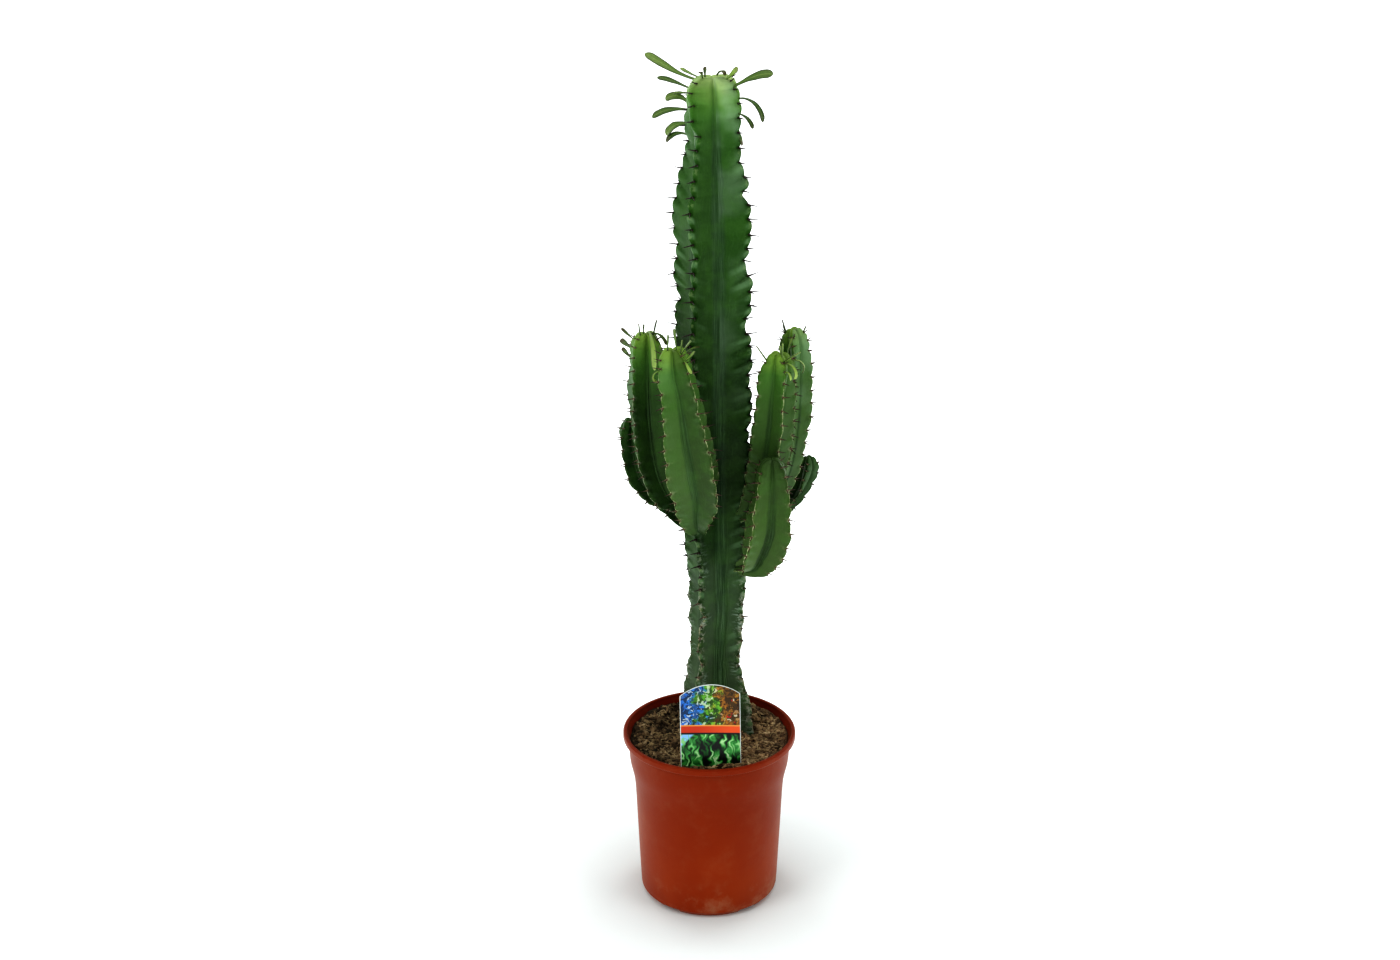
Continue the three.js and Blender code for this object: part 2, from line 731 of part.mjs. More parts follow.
// A plug of potting mix that fills the pot, with a hole for the stem and a slot for the label.
function soilGeometry() {
  const topRadius = POT.collarRadius - POT.wall - SEAT_GAP * 1.5;
  const lower = POT_INSIDE.slice(0, 4).map(([r, z]) => [r - SEAT_GAP * 1.5, z + SEAT_GAP]);
  const points = [0, 0, lower[0][1]];
  const upper = SOIL_RINGS.toReversed().map((share) => [share * topRadius]);
  const rings = [...lower, ...upper];
  for (const [r, z] of rings) {
    for (let i = 0; i < POT.segments; i++) {
      const angle = (i * 2 * Math.PI) / POT.segments;
      const [x, y] = [r * Math.cos(angle), r * Math.sin(angle)];
      points.push(x, y, z ?? soilHeight(x, y));
    }
  }
  points.push(0, 0, soilHeight(0, 0));
  const triangles = [];
  const last = rings.length * POT.segments + 1;
  for (let i = 0; i < POT.segments; i++) {
    const j = (i + 1) % POT.segments;
    triangles.push(0, 1 + j, 1 + i);
    for (let ring = 0; ring < rings.length - 1; ring++) {
      const [a, b] = [1 + ring * POT.segments, 1 + (ring + 1) * POT.segments];
      triangles.push(a + i, a + j, b + j, a + i, b + j, b + i);
    }
    const inner = 1 + (rings.length - 1) * POT.segments;
    triangles.push(inner + i, inner + j, last);
  }
  const labelSlot = labelGeometry(SEAT_GAP * 1.6).applyMatrix4(LABEL_PLACE.matrix);
  const ground = toSolid(meshGeometry(points, triangles));
  const plug = ground.subtract(mainStemSeat).subtract(toSolid(labelSlot));
  return toGeometry(largestBody(plug));
}

// ---- assembly ----

const MATERIALS = {
  pot: { color: 0x9c3a1f, roughness: 0.42 },
  soil: { color: 0x3b2a1e, roughness: 0.97 },
  label: { color: 0xd8dcd2, roughness: 0.35 },
  mainStem: { color: 0x2c5427, roughness: 0.5 },
  branch: { color: 0x3f7a2a, roughness: 0.48 },
};

function piece(name, geometry, look) {
  geometry.computeVertexNormals();
  const mesh = new THREE.Mesh(geometry, new THREE.MeshStandardMaterial({ metalness: 0, ...look }));
  mesh.name = name;
  return mesh;
}

const plant = new THREE.Group();
plant.add(piece(MAIN_STEM.name, toGeometry(mainStemSolid), MATERIALS.mainStem));
for (const branch of BRANCHES) {
  plant.add(piece(branch.name, toGeometry(branchSolid(branch)), MATERIALS.branch));
}

const label = piece("plant_label", labelGeometry(), MATERIALS.label);
label.rotation.copy(LABEL_PLACE.rotation);
label.position.copy(LABEL_PLACE.position);

const pottedEuphorbia = new THREE.Group();
pottedEuphorbia.add(piece("pot", potGeometry(), MATERIALS.pot));
pottedEuphorbia.add(piece("soil", soilGeometry(), MATERIALS.soil));
pottedEuphorbia.add(label);
pottedEuphorbia.add(plant);

export default pottedEuphorbia;
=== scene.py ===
"""A potted candelabra euphorbia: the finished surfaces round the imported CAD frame.

Sizes are millimetres in the CAD's own frame (+Z up, -Y the front) and become metres in add_mesh.
"""

import math

import bpy
import numpy as np
from mathutils import Matrix, Vector


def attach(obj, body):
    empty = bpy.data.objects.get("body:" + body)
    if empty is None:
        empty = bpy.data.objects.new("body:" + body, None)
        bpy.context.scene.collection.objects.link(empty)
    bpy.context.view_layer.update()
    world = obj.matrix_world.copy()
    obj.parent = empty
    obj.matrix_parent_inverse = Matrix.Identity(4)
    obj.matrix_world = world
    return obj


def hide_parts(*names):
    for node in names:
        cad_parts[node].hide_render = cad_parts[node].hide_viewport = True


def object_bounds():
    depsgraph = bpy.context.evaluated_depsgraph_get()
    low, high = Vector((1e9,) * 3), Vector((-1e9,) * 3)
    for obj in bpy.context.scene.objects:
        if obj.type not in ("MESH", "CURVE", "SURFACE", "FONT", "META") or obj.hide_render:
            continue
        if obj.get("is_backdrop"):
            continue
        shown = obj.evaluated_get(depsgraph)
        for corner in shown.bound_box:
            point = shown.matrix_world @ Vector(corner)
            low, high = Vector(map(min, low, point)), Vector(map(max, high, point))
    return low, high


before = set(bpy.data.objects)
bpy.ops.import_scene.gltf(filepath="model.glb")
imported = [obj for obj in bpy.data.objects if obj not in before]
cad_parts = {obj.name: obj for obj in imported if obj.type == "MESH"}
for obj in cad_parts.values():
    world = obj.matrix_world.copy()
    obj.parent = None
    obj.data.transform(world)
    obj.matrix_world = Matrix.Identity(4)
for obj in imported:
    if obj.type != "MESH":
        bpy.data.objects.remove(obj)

cad_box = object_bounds()

MM = 0.001
WHITE = (1, 1, 1, 1)
random = np.random.default_rng(466)

# ---- the camera ----

CAMERA_PLACE = (-0.0091, -1.700, 1.071)  # metres
CAMERA_PITCH = 20.5  # degrees below the horizon
FOCAL_PIXELS, FRAME_WIDTH = 1933, 1400
SENSOR_WIDTH = 36


def add_camera():
    data = bpy.data.cameras.new("camera")
    data.sensor_fit = "HORIZONTAL"
    data.sensor_width = SENSOR_WIDTH
    data.lens = FOCAL_PIXELS * SENSOR_WIDTH / FRAME_WIDTH
    data.clip_end = 100
    camera = bpy.data.objects.new("camera", data)
    camera.location = CAMERA_PLACE
    camera.rotation_euler = (math.radians(90 - CAMERA_PITCH), 0, 0)
    bpy.context.collection.objects.link(camera)
    bpy.context.scene.camera = camera


add_camera()

# ---- meshes ----


def add_mesh(name, points, faces, material, attributes=None, smooth=True):
    """A mesh object from points in millimetres and arrays of faces with three or four corners."""
    mesh = bpy.data.meshes.new(name)
    groups = [np.asarray(group, dtype=np.int32) for group in faces]
    corners = np.concatenate([group.ravel() for group in groups])
    sizes = np.concatenate([np.full(len(group), group.shape[1], dtype=np.int32) for group in groups])
    mesh.vertices.add(len(points))
    mesh.vertices.foreach_set("co", (np.asarray(points, dtype=np.float32) * MM).ravel())
    mesh.loops.add(len(corners))
    mesh.loops.foreach_set("vertex_index", corners)
    mesh.polygons.add(len(sizes))
    mesh.polygons.foreach_set("loop_start", (np.cumsum(sizes) - sizes).astype(np.int32))
    mesh.update(calc_edges=True)
    mesh.validate()
    mesh.polygons.foreach_set("use_smooth", np.full(len(mesh.polygons), smooth))
    for key, values in (attributes or {}).items():
        values = np.asarray(values, dtype=np.float32)
        kind, field = ("FLOAT_VECTOR", "vector") if values.ndim == 2 else ("FLOAT", "value")
        mesh.attributes.new(key, kind, "POINT").data.foreach_set(field, values.ravel())
    mesh.materials.append(material)
    piece = bpy.data.objects.new(name, mesh)
    bpy.context.collection.objects.link(piece)
    return piece


def finish_piece(piece, node, slot):
    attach(piece, "root")
    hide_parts(node)


class Batch:
    """Points, faces and attributes of many small shapes that end up in one mesh."""

    def __init__(self):
        self.points, self.triangles, self.quads = [], [], []
        self.attributes = {}
        self.count = 0

    def add(self, points, triangles=(), quads=(), **attributes):
        self.points.append(np.asarray(points, dtype=float))
        for group, faces in ((self.triangles, triangles), (self.quads, quads)):
            if len(faces):
                group.append(np.asarray(faces) + self.count)
        for key, values in attributes.items():
            values = np.broadcast_to(np.asarray(values, dtype=float), len(points))
            self.attributes.setdefault(key, []).append(values)
        self.count += len(points)

    def to_object(self, name, material, smooth=True):
        faces = [np.concatenate(group) for group in (self.triangles, self.quads) if group]
        attributes = {key: np.concatenate(values) for key, values in self.attributes.items()}
        return add_mesh(name, np.concatenate(self.points), faces, material, attributes, smooth)


def grid_quads(rows, columns, closed):
    """Quads of a grid of points, row by row; closed joins the last column to the first."""
    steps = columns if closed else columns - 1
    row, column = np.meshgrid(np.arange(rows - 1), np.arange(steps), indexing="ij")
    here = row * columns + column
    right = row * columns + (column + 1) % columns
    return np.stack([here, right, right + columns, here + columns], axis=-1).reshape(-1, 4)


def around(sides):
    """Angles of points that stand evenly round a circle."""
    return np.arange(sides) * 2 * math.pi / sides


def ring_points(radius, height, sides, x=0, y=0):
    """Points of a level circle whose centre is above the place x, y."""
    angles = around(sides)
    return np.column_stack([x + radius * np.cos(angles), y + radius * np.sin(angles), np.full(sides, height)])


def tube_faces(rows, columns):
    """Quads of a tube and triangles of its two ends, whose centres are the last two points."""
    ring = np.arange(columns)
    last, count = (rows - 1) * columns + ring, rows * columns
    start = np.stack([np.roll(ring, -1), ring, np.full(columns, count)], axis=1)
    end = np.stack([last, np.roll(last, -1), np.full(columns, count + 1)], axis=1)
    return grid_quads(rows, columns, closed=True), np.concatenate([start, end])


def sheet_faces(rows, columns):
    """Quads of a thin sheet and its rims; the points of its upper side come before its lower side's."""
    upper, count = grid_quads(rows, columns, closed=False), rows * columns
    left, low = np.arange(rows - 1) * columns, np.arange(columns - 1)
    right, high = left + columns - 1, low + (rows - 1) * columns
    onwards, back = ((left, left + columns), (high, high + 1)), ((right, right + columns), (low, low + 1))
    rims = [np.stack([a, b, b + count, a + count], axis=1) for a, b in onwards]
    rims += [np.stack([a, a + count, b + count, b], axis=1) for a, b in back]
    return np.concatenate([upper, upper[:, ::-1] + count, *rims])


def smoothstep(low, high, value):
    share = np.clip((value - low) / (high - low), 0, 1)
    return share * share * (3 - 2 * share)


def value_noise(seed, cell, x, y, positive=False):
    """Smooth random values from -1 to 1, or from 0 to 1, with features about a cell wide."""
    size = 64
    table = np.random.default_rng(seed).uniform(0 if positive else -1, 1, (size, size))
    gx, gy = x / cell + 31.3, y / cell + 31.7
    ix, iy = np.floor(gx).astype(int), np.floor(gy).astype(int)
    fx, fy = gx - ix, gy - iy
    fx, fy = fx * fx * (3 - 2 * fx), fy * fy * (3 - 2 * fy)

    def corner(dx, dy):
        return table[(ix + dx) % size, (iy + dy) % size]

    low = corner(0, 0) * (1 - fx) + corner(1, 0) * fx
    high = corner(0, 1) * (1 - fx) + corner(1, 1) * fx
    return low * (1 - fy) + high * fy


# ---- materials ----


def linear(code):
    """The linear colour of an sRGB code such as 0x2c5427."""
    channels = [(code >> shift & 255) / 255 for shift in (16, 8, 0)]
    return tuple(c / 12.92 if c <= 0.04045 else ((c + 0.055) / 1.055) ** 2.4 for c in channels) + (1.0,)


class Shader:
    """A node material that is built by plain calls. coat lays tints over the colour held so far."""

    def __init__(self, name, roughness=0.5, specular=0.5, **constants):
        self.material = bpy.data.materials.new(name)
        self.material.use_nodes = True
        self.tree = self.material.node_tree
        self.surface = self.tree.nodes["Principled BSDF"]
        self.colour = None
        self.link(Roughness=roughness, Specular_IOR_Level=specular, **constants)

    def link(self, **values):
        """Set the surface's inputs, each a number, a colour or another node's output."""
        for key, value in values.items():
            self.set(self.surface.inputs[key.replace("_", " ")], value)

    def node(self, kind, inputs=None, **settings):
        node = self.tree.nodes.new(kind)
        for key, value in settings.items():
            setattr(node, key, value)
        for key, value in (inputs or {}).items():
            self.set(node.inputs[key], value)
        return node

    def set(self, socket, value):
        if isinstance(value, bpy.types.NodeSocket):
            self.tree.links.new(value, socket)
        else:
            socket.default_value = value

    def place(self):
        return self.node("ShaderNodeTexCoord").outputs["Object"]

    def attributes(self, *names):
        return [self.node("ShaderNodeAttribute", attribute_name=name).outputs["Fac"] for name in names]

    def vector_attribute(self, name):
        return self.node("ShaderNodeAttribute", attribute_name=name).outputs["Vector"]

    def split(self, vector):
        parts = self.node("ShaderNodeSeparateXYZ", {0: vector}).outputs
        return parts["X"], parts["Y"], parts["Z"]

    def math(self, operation, a, b=0.0, clamp=False):
        return self.node("ShaderNodeMath", {0: a, 1: b}, operation=operation, use_clamp=clamp).outputs[0]

    def plus(self, a, b, clamp=False):
        return self.math("ADD", a, b, clamp)

    def times(self, *factors):
        result = factors[0]
        for factor in factors[1:]:
            result = self.math("MULTIPLY", result, factor)
        return result

    def vector(self, operation, a, b):
        return self.node("ShaderNodeVectorMath", {0: a, 1: b}, operation=operation).outputs[0]

    def noise(self, vector, scale, detail=3.0, roughness=0.55, output="Fac"):
        inputs = {"Vector": vector, "Scale": scale, "Detail": detail, "Roughness": roughness}
        return self.node("ShaderNodeTexNoise", inputs).outputs[output]

    def voronoi(self, vector, scale, feature="F1", output="Distance"):
        node = self.node("ShaderNodeTexVoronoi", {"Vector": vector, "Scale": scale}, feature=feature)
        return node.outputs[output]

    def ramp(self, factor, stops):
        """Colour or grey by factor; stops are (place, value) with a code or a number from 0 to 1."""
        node = self.node("ShaderNodeValToRGB", {"Fac": factor})
        elements = node.color_ramp.elements
        while len(elements) < len(stops):
            elements.new(0.5)
        for element, (place, value) in zip(elements, stops):
            element.position = place
            element.color = linear(value) if isinstance(value, int) else (value, value, value, 1)
        return node.outputs["Color"]

    def step(self, value, low, high):
        """0 below low and 1 above high, or the other way round where low is the larger."""
        inputs = {"Value": value, "From Min": low, "From Max": high}
        return self.node("ShaderNodeMapRange", inputs, interpolation_type="SMOOTHSTEP").outputs["Result"]

    def mix(self, factor, a, b):
        node = self.node("ShaderNodeMix", data_type="RGBA")
        self.set(node.inputs[0], factor)
        for socket, value in zip(node.inputs[6:8], (a, b)):
            self.set(socket, linear(value) if isinstance(value, int) else value)
        return node.outputs[2]

    def coat(self, tint, *factors):
        self.colour = self.mix(self.times(*factors), self.colour, tint)

    def finish(self, height, strength, distance):
        """The material with its colour and a bump of the given height."""
        inputs = {"Height": height, "Strength": strength, "Distance": distance}
        self.link(Base_Color=self.colour, Normal=self.node("ShaderNodeBump", inputs).outputs["Normal"])
        return self.material


# ---- ribbed stems ----
# A path runs from the root end to the tip, and each of its points is x, y, z and the reach of the ribs.
# Headings are degrees from the front (-Y) towards +X for the first rib, from the root end to the tip.
# The groove is a share of the reach and grows by young_groove near the tip, hollow curves the flanks,
# spacing lies between areoles, tooth notches the edge at them, wave sways it and ripple pleats the flanks.
# young_length is how far down the tip's soft forms go, and tip_dip sinks the middle of the tip. Flanks are
# named by rib and side: calm scales their pleats, and the flank table after it lays painted shade on them or,
# where its value is minus, painted light with a pale bloom.

MAIN_STEM = dict(
    name="main_stem",
    slot="main_stem_skin",
    skin="trunk",
    path=[
        (6.5, 30, 104, 15), (6.5, 30, 122, 28), (6.6, 30, 148, 38.5), (6.3, 30, 176, 39.3),
        (5.8, 30, 205, 34.5), (5.9, 30, 232, 29.5), (6.7, 30, 262, 28.4), (7.4, 30, 299, 30.4),
        (5.9, 30, 352, 32.8), (4.4, 30, 404, 35.8), (3.2, 30, 454, 38.2), (2.4, 30, 504, 39.8),
        (2.7, 30, 560, 40.2), (2.9, 30, 602, 40), (2.2, 30, 640, 39.3), (1.6, 30, 672, 39.8),
        (1.8, 30, 704, 37.6), (2.2, 30, 734, 31), (2.4, 30, 760, 29.6), (2.3, 30, 785, 29),
        (1.5, 30, 808, 28),
    ],
    headings=[-34, -33, -31, -28, -27, -29, -30, -42],
    groove=0.46,
    young_groove=0.42,
    hollow=1.38,
    margin_half=2.5,
    spacing=13.6,
    tooth=3.0,
    wave=2.6,
    ripple=3.0,
    young_length=85,
    calm={(0, 1): 0.3, (1, -1): 1.3},
    # painted shade on the flank turned from the light; minus values paint light with a pale bloom
    shades={(0, 1): 0.4, (1, -1): -0.9, (3, 1): -0.45, (0, -1): -0.45},
    tip_dip=4.0,
    spine_lengths=[4, 5.5, 10.5, 11.5, 10.5, 5.5],
    bare_length=66,
    tip_length=21,
    tip_squareness=2.6,
)
# Rib, height, depth (minus swells the edge) and half length of its dents.
RIB_DENTS = [
    (1, 168, -5, 14), (1, 197, -4.5, 17), (1, 716, -2.5, 7), (1, 703, 8.5, 5), (1, 638, 5, 11),
    (1, 612, 1.5, 6), (1, 583, 4.5, 7), (0, 283, 2.5, 8), (3, 672, -2, 11), (3, 652, 4, 8),
    (3, 622, -3, 12), (3, 600, 4.5, 7), (3, 587, -2, 7), (2, 560, 3, 9),
]
# Rib, height, distance and half length of the places where its edge leans to the side.
RIB_SWAYS = [(0, 742, 4, 14), (0, 700, -1.5, 12), (1, 330, 1.5, 20)]


def branch(name, skin, heading, path, **differences):
    """A branch's row of values: what the branches have in common and what is its own."""
    common = dict(
        slot="branch_skin",
        groove=0.43,
        young_groove=0.16,
        hollow=1.2,
        margin_half=1.1,
        spacing=13,
        tooth=2.1,
        wave=0.9,
        ripple=1.1,
        young_length=48,
        calm={},
        shades={},
        tip_dip=2.0,
        spine_lengths=[6.5, 8, 7.5],
        bare_length=22,
        tip_length=23,
        tip_squareness=2.4,
    )
    own = dict(name="branch_" + name, skin=skin, headings=[heading] * 2, path=path)
    return {**common, **own, **differences}


STEMS = [
    MAIN_STEM,
    branch(
        "left_front", "bright", -48,
        [(-9, 9, 381, 7), (-12, -3, 392, 13), (-13, -13, 410, 22), (-13, -20, 430, 28.5),
         (-17, -27, 458, 31.5), (-22, -30, 491, 27.5), (-27, -32, 527, 23.5), (-32, -33, 552, 20),
         (-34, -34, 575, 19)],
        shades={(0, -1): 0.3, (0, 1): -0.25, (1, -1): 1.0, (1, 1): 0.3},
    ),
    branch(
        "left_tall", "dark", -37,
        [(-17, 42, 392, 6.5), (-26, 42, 396, 9.5), (-34, 35, 402, 13), (-43, 29, 414, 17.5),
         (-52, 26, 441, 21.4), (-57, 25, 476, 22.4), (-59, 25, 506, 22.3), (-59, 25, 545, 20),
         (-59, 25, 573, 18)],
        shades={(3, 1): -0.6, (0, -1): -0.6},
    ),
    branch(
        "left_small", "painted_shade", -40,
        [(-18, 45, 370, 5.5), (-26, 50, 374, 7.5), (-35, 55, 382, 9), (-49, 58, 396, 11.5),
         (-65, 56, 413, 14), (-72, 56, 432, 14.8), (-75, 56, 456, 14.6), (-76, 56, 479, 13)],
        spine_lengths=[5.5, 6.5, 6],
    ),
    branch(
        "right_tall", "bright", -70,
        [(29, 17, 391, 6.5), (37, 14, 400, 10.5), (45, 14, 415, 16), (53, 14, 440, 20.5),
         (58, 14, 470, 21.4), (61, 14, 510, 20.2), (63, 14, 537, 17.5), (63, 14, 557, 16)],
        shades={(1, 1): 0.5, (2, -1): 0.6},
    ),
    branch(
        "right_back", "bright", -99,
        [(19, 55, 371, 5.5), (27, 58, 376, 7.5), (44, 56, 385, 9.5), (64, 52, 404, 12),
         (75, 48, 433, 13.7), (80, 46, 469, 14.7), (82, 46, 509, 15.3), (81, 46, 549, 14.2),
         (78, 46, 571, 13)],
        shades={(1, 1): -0.8, (2, -1): -0.8},
        tip_squareness=2.6,
    ),
    branch(
        "right_low", "old", -42,
        [(27, 17, 338, 6.5), (37, 9, 343, 11), (43, 1, 351, 17), (48, -8, 366, 22.5),
         (55, -18, 392, 26.5), (57, -24, 420, 24.5), (57, -26, 445, 19.5), (57, -26, 467, 17)],
        shades={(1, -1): 0.5, (1, 1): 0.5},
    ),
    branch(
        "right_small", "painted_shade", -6,
        [(18, 56, 356, 5), (27, 61, 360, 7), (42, 64, 366, 7.5), (64, 64, 377, 8.5),
         (82, 66, 391, 8.2), (91, 67, 406, 9.8), (96, 67, 423, 11.6), (96.5, 67, 436, 11.2)],
        # painted light on the right face, painted shade on the left face
        shades={(0, 1): -0.35, (1, -1): -0.35, (3, 1): 0.5, (0, -1): 0.5},
        spine_lengths=[4.5, 5, 4.5],
    ),
]


def along(keys, places):
    """Smooth values through the keys at places counted in keys."""
    keys = np.asarray(keys, dtype=float)
    places = np.atleast_1d(np.asarray(places, dtype=float))
    index = np.clip(np.floor(places).astype(int), 0, len(keys) - 2)
    u = (places - index)[:, None] if keys.ndim == 2 else places - index
    a, b, c, d = (keys[np.clip(index + shift, 0, len(keys) - 1)] for shift in (-1, 0, 1, 2))
    bend = (2 * a - 5 * b + 4 * c - d) * u**2
    swing = (3 * (b - c) + d - a) * u**3
    return b + 0.5 * ((c - a) * u + bend + swing)


def along_shares(keys, shares):
    """Smooth values through evenly spaced keys, at shares of the way from the first to the last."""
    return along(keys, shares * (len(keys) - 1))


def unit(vectors):
    return vectors / np.linalg.norm(vectors, axis=-1, keepdims=True)


def rotated(vectors, axes, angles):
    """Vectors turned about unit axes by angles in radians, row by row."""
    cosine, sine = np.cos(angles)[..., None], np.sin(angles)[..., None]
    along_axis = np.sum(axes * vectors, axis=-1, keepdims=True) * axes
    return vectors * cosine + np.cross(axes, vectors) * sine + along_axis * (1 - cosine)


class Axis:
    """The line that a stem grows along, with the first rib's direction carried down from its tip."""

    STEPS_PER_KEY = 24

    def __init__(self, stem):
        self.stem = stem
        count = (len(stem["path"]) - 1) * self.STEPS_PER_KEY
        numbers = np.arange(count + 1)
        values = along(stem["path"], numbers / self.STEPS_PER_KEY)
        self.points, self.reach = values[:, :3], values[:, 3]
        gaps = np.linalg.norm(np.diff(self.points, axis=0), axis=1)
        self.lengths = np.concatenate([[0], np.cumsum(gaps)])
        self.total = self.lengths[-1]
        ahead, behind = np.minimum(numbers + 1, count), np.maximum(numbers - 1, 0)
        self.forward = unit(self.points[ahead] - self.points[behind])
        tip_heading = math.radians(stem["headings"][-1])
        carried = np.array([math.sin(tip_heading), -math.cos(tip_heading), 0.0])
        directions = []
        for forward in self.forward[::-1]:
            carried = unit(carried - forward * (carried @ forward))
            directions.append(carried)
        turns = np.radians(along_shares(stem["headings"], self.lengths / self.total) - stem["headings"][-1])
        self.first = rotated(np.array(directions[::-1]), self.forward, turns)

    def ribs(self, lengths, rib):
        """Point, direction, the rib's outward and sideways directions, reach and share into the tip."""
        lengths = np.clip(np.atleast_1d(np.asarray(lengths, dtype=float)), 0, self.total)

        def mix(rows):
            return np.stack([np.interp(lengths, self.lengths, rows[:, i]) for i in range(3)], axis=1)

        tip_length, square = self.stem["tip_length"], self.stem["tip_squareness"]
        into = np.maximum(0, (lengths - self.total + tip_length) / tip_length)
        closing = np.maximum(0, 1 - into**square) ** (1 / square)
        reach = np.interp(lengths, self.lengths, self.reach) * closing
        forward, first = unit(mix(self.forward)), unit(mix(self.first))
        second = np.cross(forward, first)
        turn = rib * math.pi / 2
        out = first * math.cos(turn) + second * math.sin(turn)
        side = second * math.cos(turn) - first * math.sin(turn)
        return mix(self.points), forward, out, side, reach, into


GREEN_ABOVE, CORKY_BELOW = 420, 330  # heights on the main stem
AXES = {stem["name"]: Axis(stem) for stem in STEMS}
GROWTH = {}  # stem name and rib: the areoles' lengths, and how far each stands out or is pushed aside


def grow(stem, rib):
    """Draw a rib's areoles, which crowd towards the tip."""
    total = AXES[stem["name"]].total
    length = stem["bare_length"] + (rib % 2 + 0.5) * stem["spacing"] / 2
    lengths = []
    while length < total - stem["tip_length"] * 0.2:
        lengths.append(length)
        crowding = 0.5 + 0.5 * smoothstep(5, 40, total - length)
        length += stem["spacing"] * random.uniform(0.9, 1.1) * crowding
    out = random.normal(0, 0.45, len(lengths)) * stem["tooth"]
    aside = random.normal(0, 0.5, len(lengths)) * stem["wave"]
    return np.array(lengths), out, aside


for stem in STEMS:
    for rib in range(4):
        GROWTH[stem["name"], rib] = grow(stem, rib)


def swelling(stem, rib, lengths):
    """0 in the crease at each areole and 1 on the swelling below it, which has a shoulder at its top."""
    areoles, _, _ = GROWTH[stem["name"], rib]
    marks = np.concatenate([[areoles[0] - stem["spacing"]], areoles, [areoles[-1] + stem["spacing"]]])
    above = np.clip(np.searchsorted(marks, lengths), 1, len(marks) - 1)
    fall = (marks[above] - lengths) / (marks[above] - marks[above - 1])
    return np.sin(math.pi * np.clip(fall, 0, 1) ** 0.6) ** 0.85


def worn_down(stem, heights):
    """How old and corky the ribs are: 1 at the foot of the main stem, 0 from its middle up."""
    return smoothstep(GREEN_ABOVE, CORKY_BELOW, heights) if stem is MAIN_STEM else 0 * heights


def awake(stem, lengths):
    """0 on the bare foot of a stem and 1 above it."""
    return smoothstep(stem["bare_length"] - 8, stem["bare_length"] + 2, lengths)


def rib_edge(stem, rib, lengths, heights, reach):
    """How far a rib's edge is drawn in and how far it sways to the side."""
    areoles, out, aside = GROWTH[stem["name"], rib]
    live = np.minimum(1, reach / 12) * awake(stem, lengths)
    corky = worn_down(stem, heights)
    drawn_in = stem["tooth"] * (1 - 0.7 * corky) * (1 - swelling(stem, rib, lengths))
    drawn_in = drawn_in - np.interp(lengths, areoles, out) * 0.8
    drawn_in = (drawn_in + corky * 0.9 * value_noise(60 + rib, 2.6, lengths, 0)) * live
    sway = 0.7 * np.sin(lengths / 9.3 + rib * 2.1) + 0.5 * np.sin(lengths / 4.1 + rib * 1.3)
    sway = (sway * stem["wave"] * 0.8 + np.interp(lengths, areoles, aside)) * live

    def bumps(rows):
        rows = [row[1:] for row in rows if row[0] == rib and stem is MAIN_STEM]
        return sum(size * np.exp(-(((heights - height) / half) ** 2)) for height, size, half in rows)

    return drawn_in + bumps(RIB_DENTS), sway + bumps(RIB_SWAYS)


MARGIN = 1.06  # the share that stands for the line along the rib's edge
# Shares of the way from the groove to the rib's edge where the skin has points.
ACROSS = np.array([0, 0.05, 0.1, 0.17, 0.25, 0.34, 0.44, 0.54, 0.64, 0.73, 0.81, 0.88, 0.94, 1.0])
COLUMNS = [(share, -1) for share in ACROSS] + [(MARGIN, 0)] + [(share, 1) for share in ACROSS[:0:-1]]
MAIN_ROW_HEIGHT, BRANCH_ROW_HEIGHT = 1.55, 1.9  # between the skin's rows of points
TIP_ROWS = 17
RIPPLE_SLOPE = 0.5  # the creases below each areole run down towards the groove
PLAIN_CREST = 0.62  # the crest value of smooth skin
PLEAT_SEED, PLEAT_PATCH = 20, 24
WRINKLE_SEED, WRINKLE_LENGTH, WRINKLE_DEPTH = 70, 3.4, 0.35
COLUMN_GRAIN = 2.0  # mm across to one column in the grain's coordinates


def skin_lengths(stem, total):
    """Where along a stem its skin has rows of points, closer together on the rounded tip."""
    row_height = MAIN_ROW_HEIGHT if stem is MAIN_STEM else BRANCH_ROW_HEIGHT
    body = np.arange(0, total - stem["tip_length"], row_height)
    angles = np.linspace(0, math.pi / 2, TIP_ROWS + 1)[:-1]
    tip = total - stem["tip_length"] * (1 - np.sin(angles) ** (2 / stem["tip_squareness"]))
    return np.concatenate([body, tip])


def flank_number(rib, hand):
    return 2 * rib + (hand > 0)


def pleats(stem, rib, hand, lengths, inner, inwards):
    """How far a flank's pleats stand out, from 0 to 1, and how deep they are, which varies along it."""
    swell = swelling(stem, rib, lengths + RIPPLE_SLOPE * inwards)
    lively = value_noise(PLEAT_SEED + flank_number(rib, hand), PLEAT_PATCH, lengths, 9 * inner, positive=True)
    return swell, (0.12 + 1.7 * lively**2) * stem["calm"].get((rib, hand), 1.0)


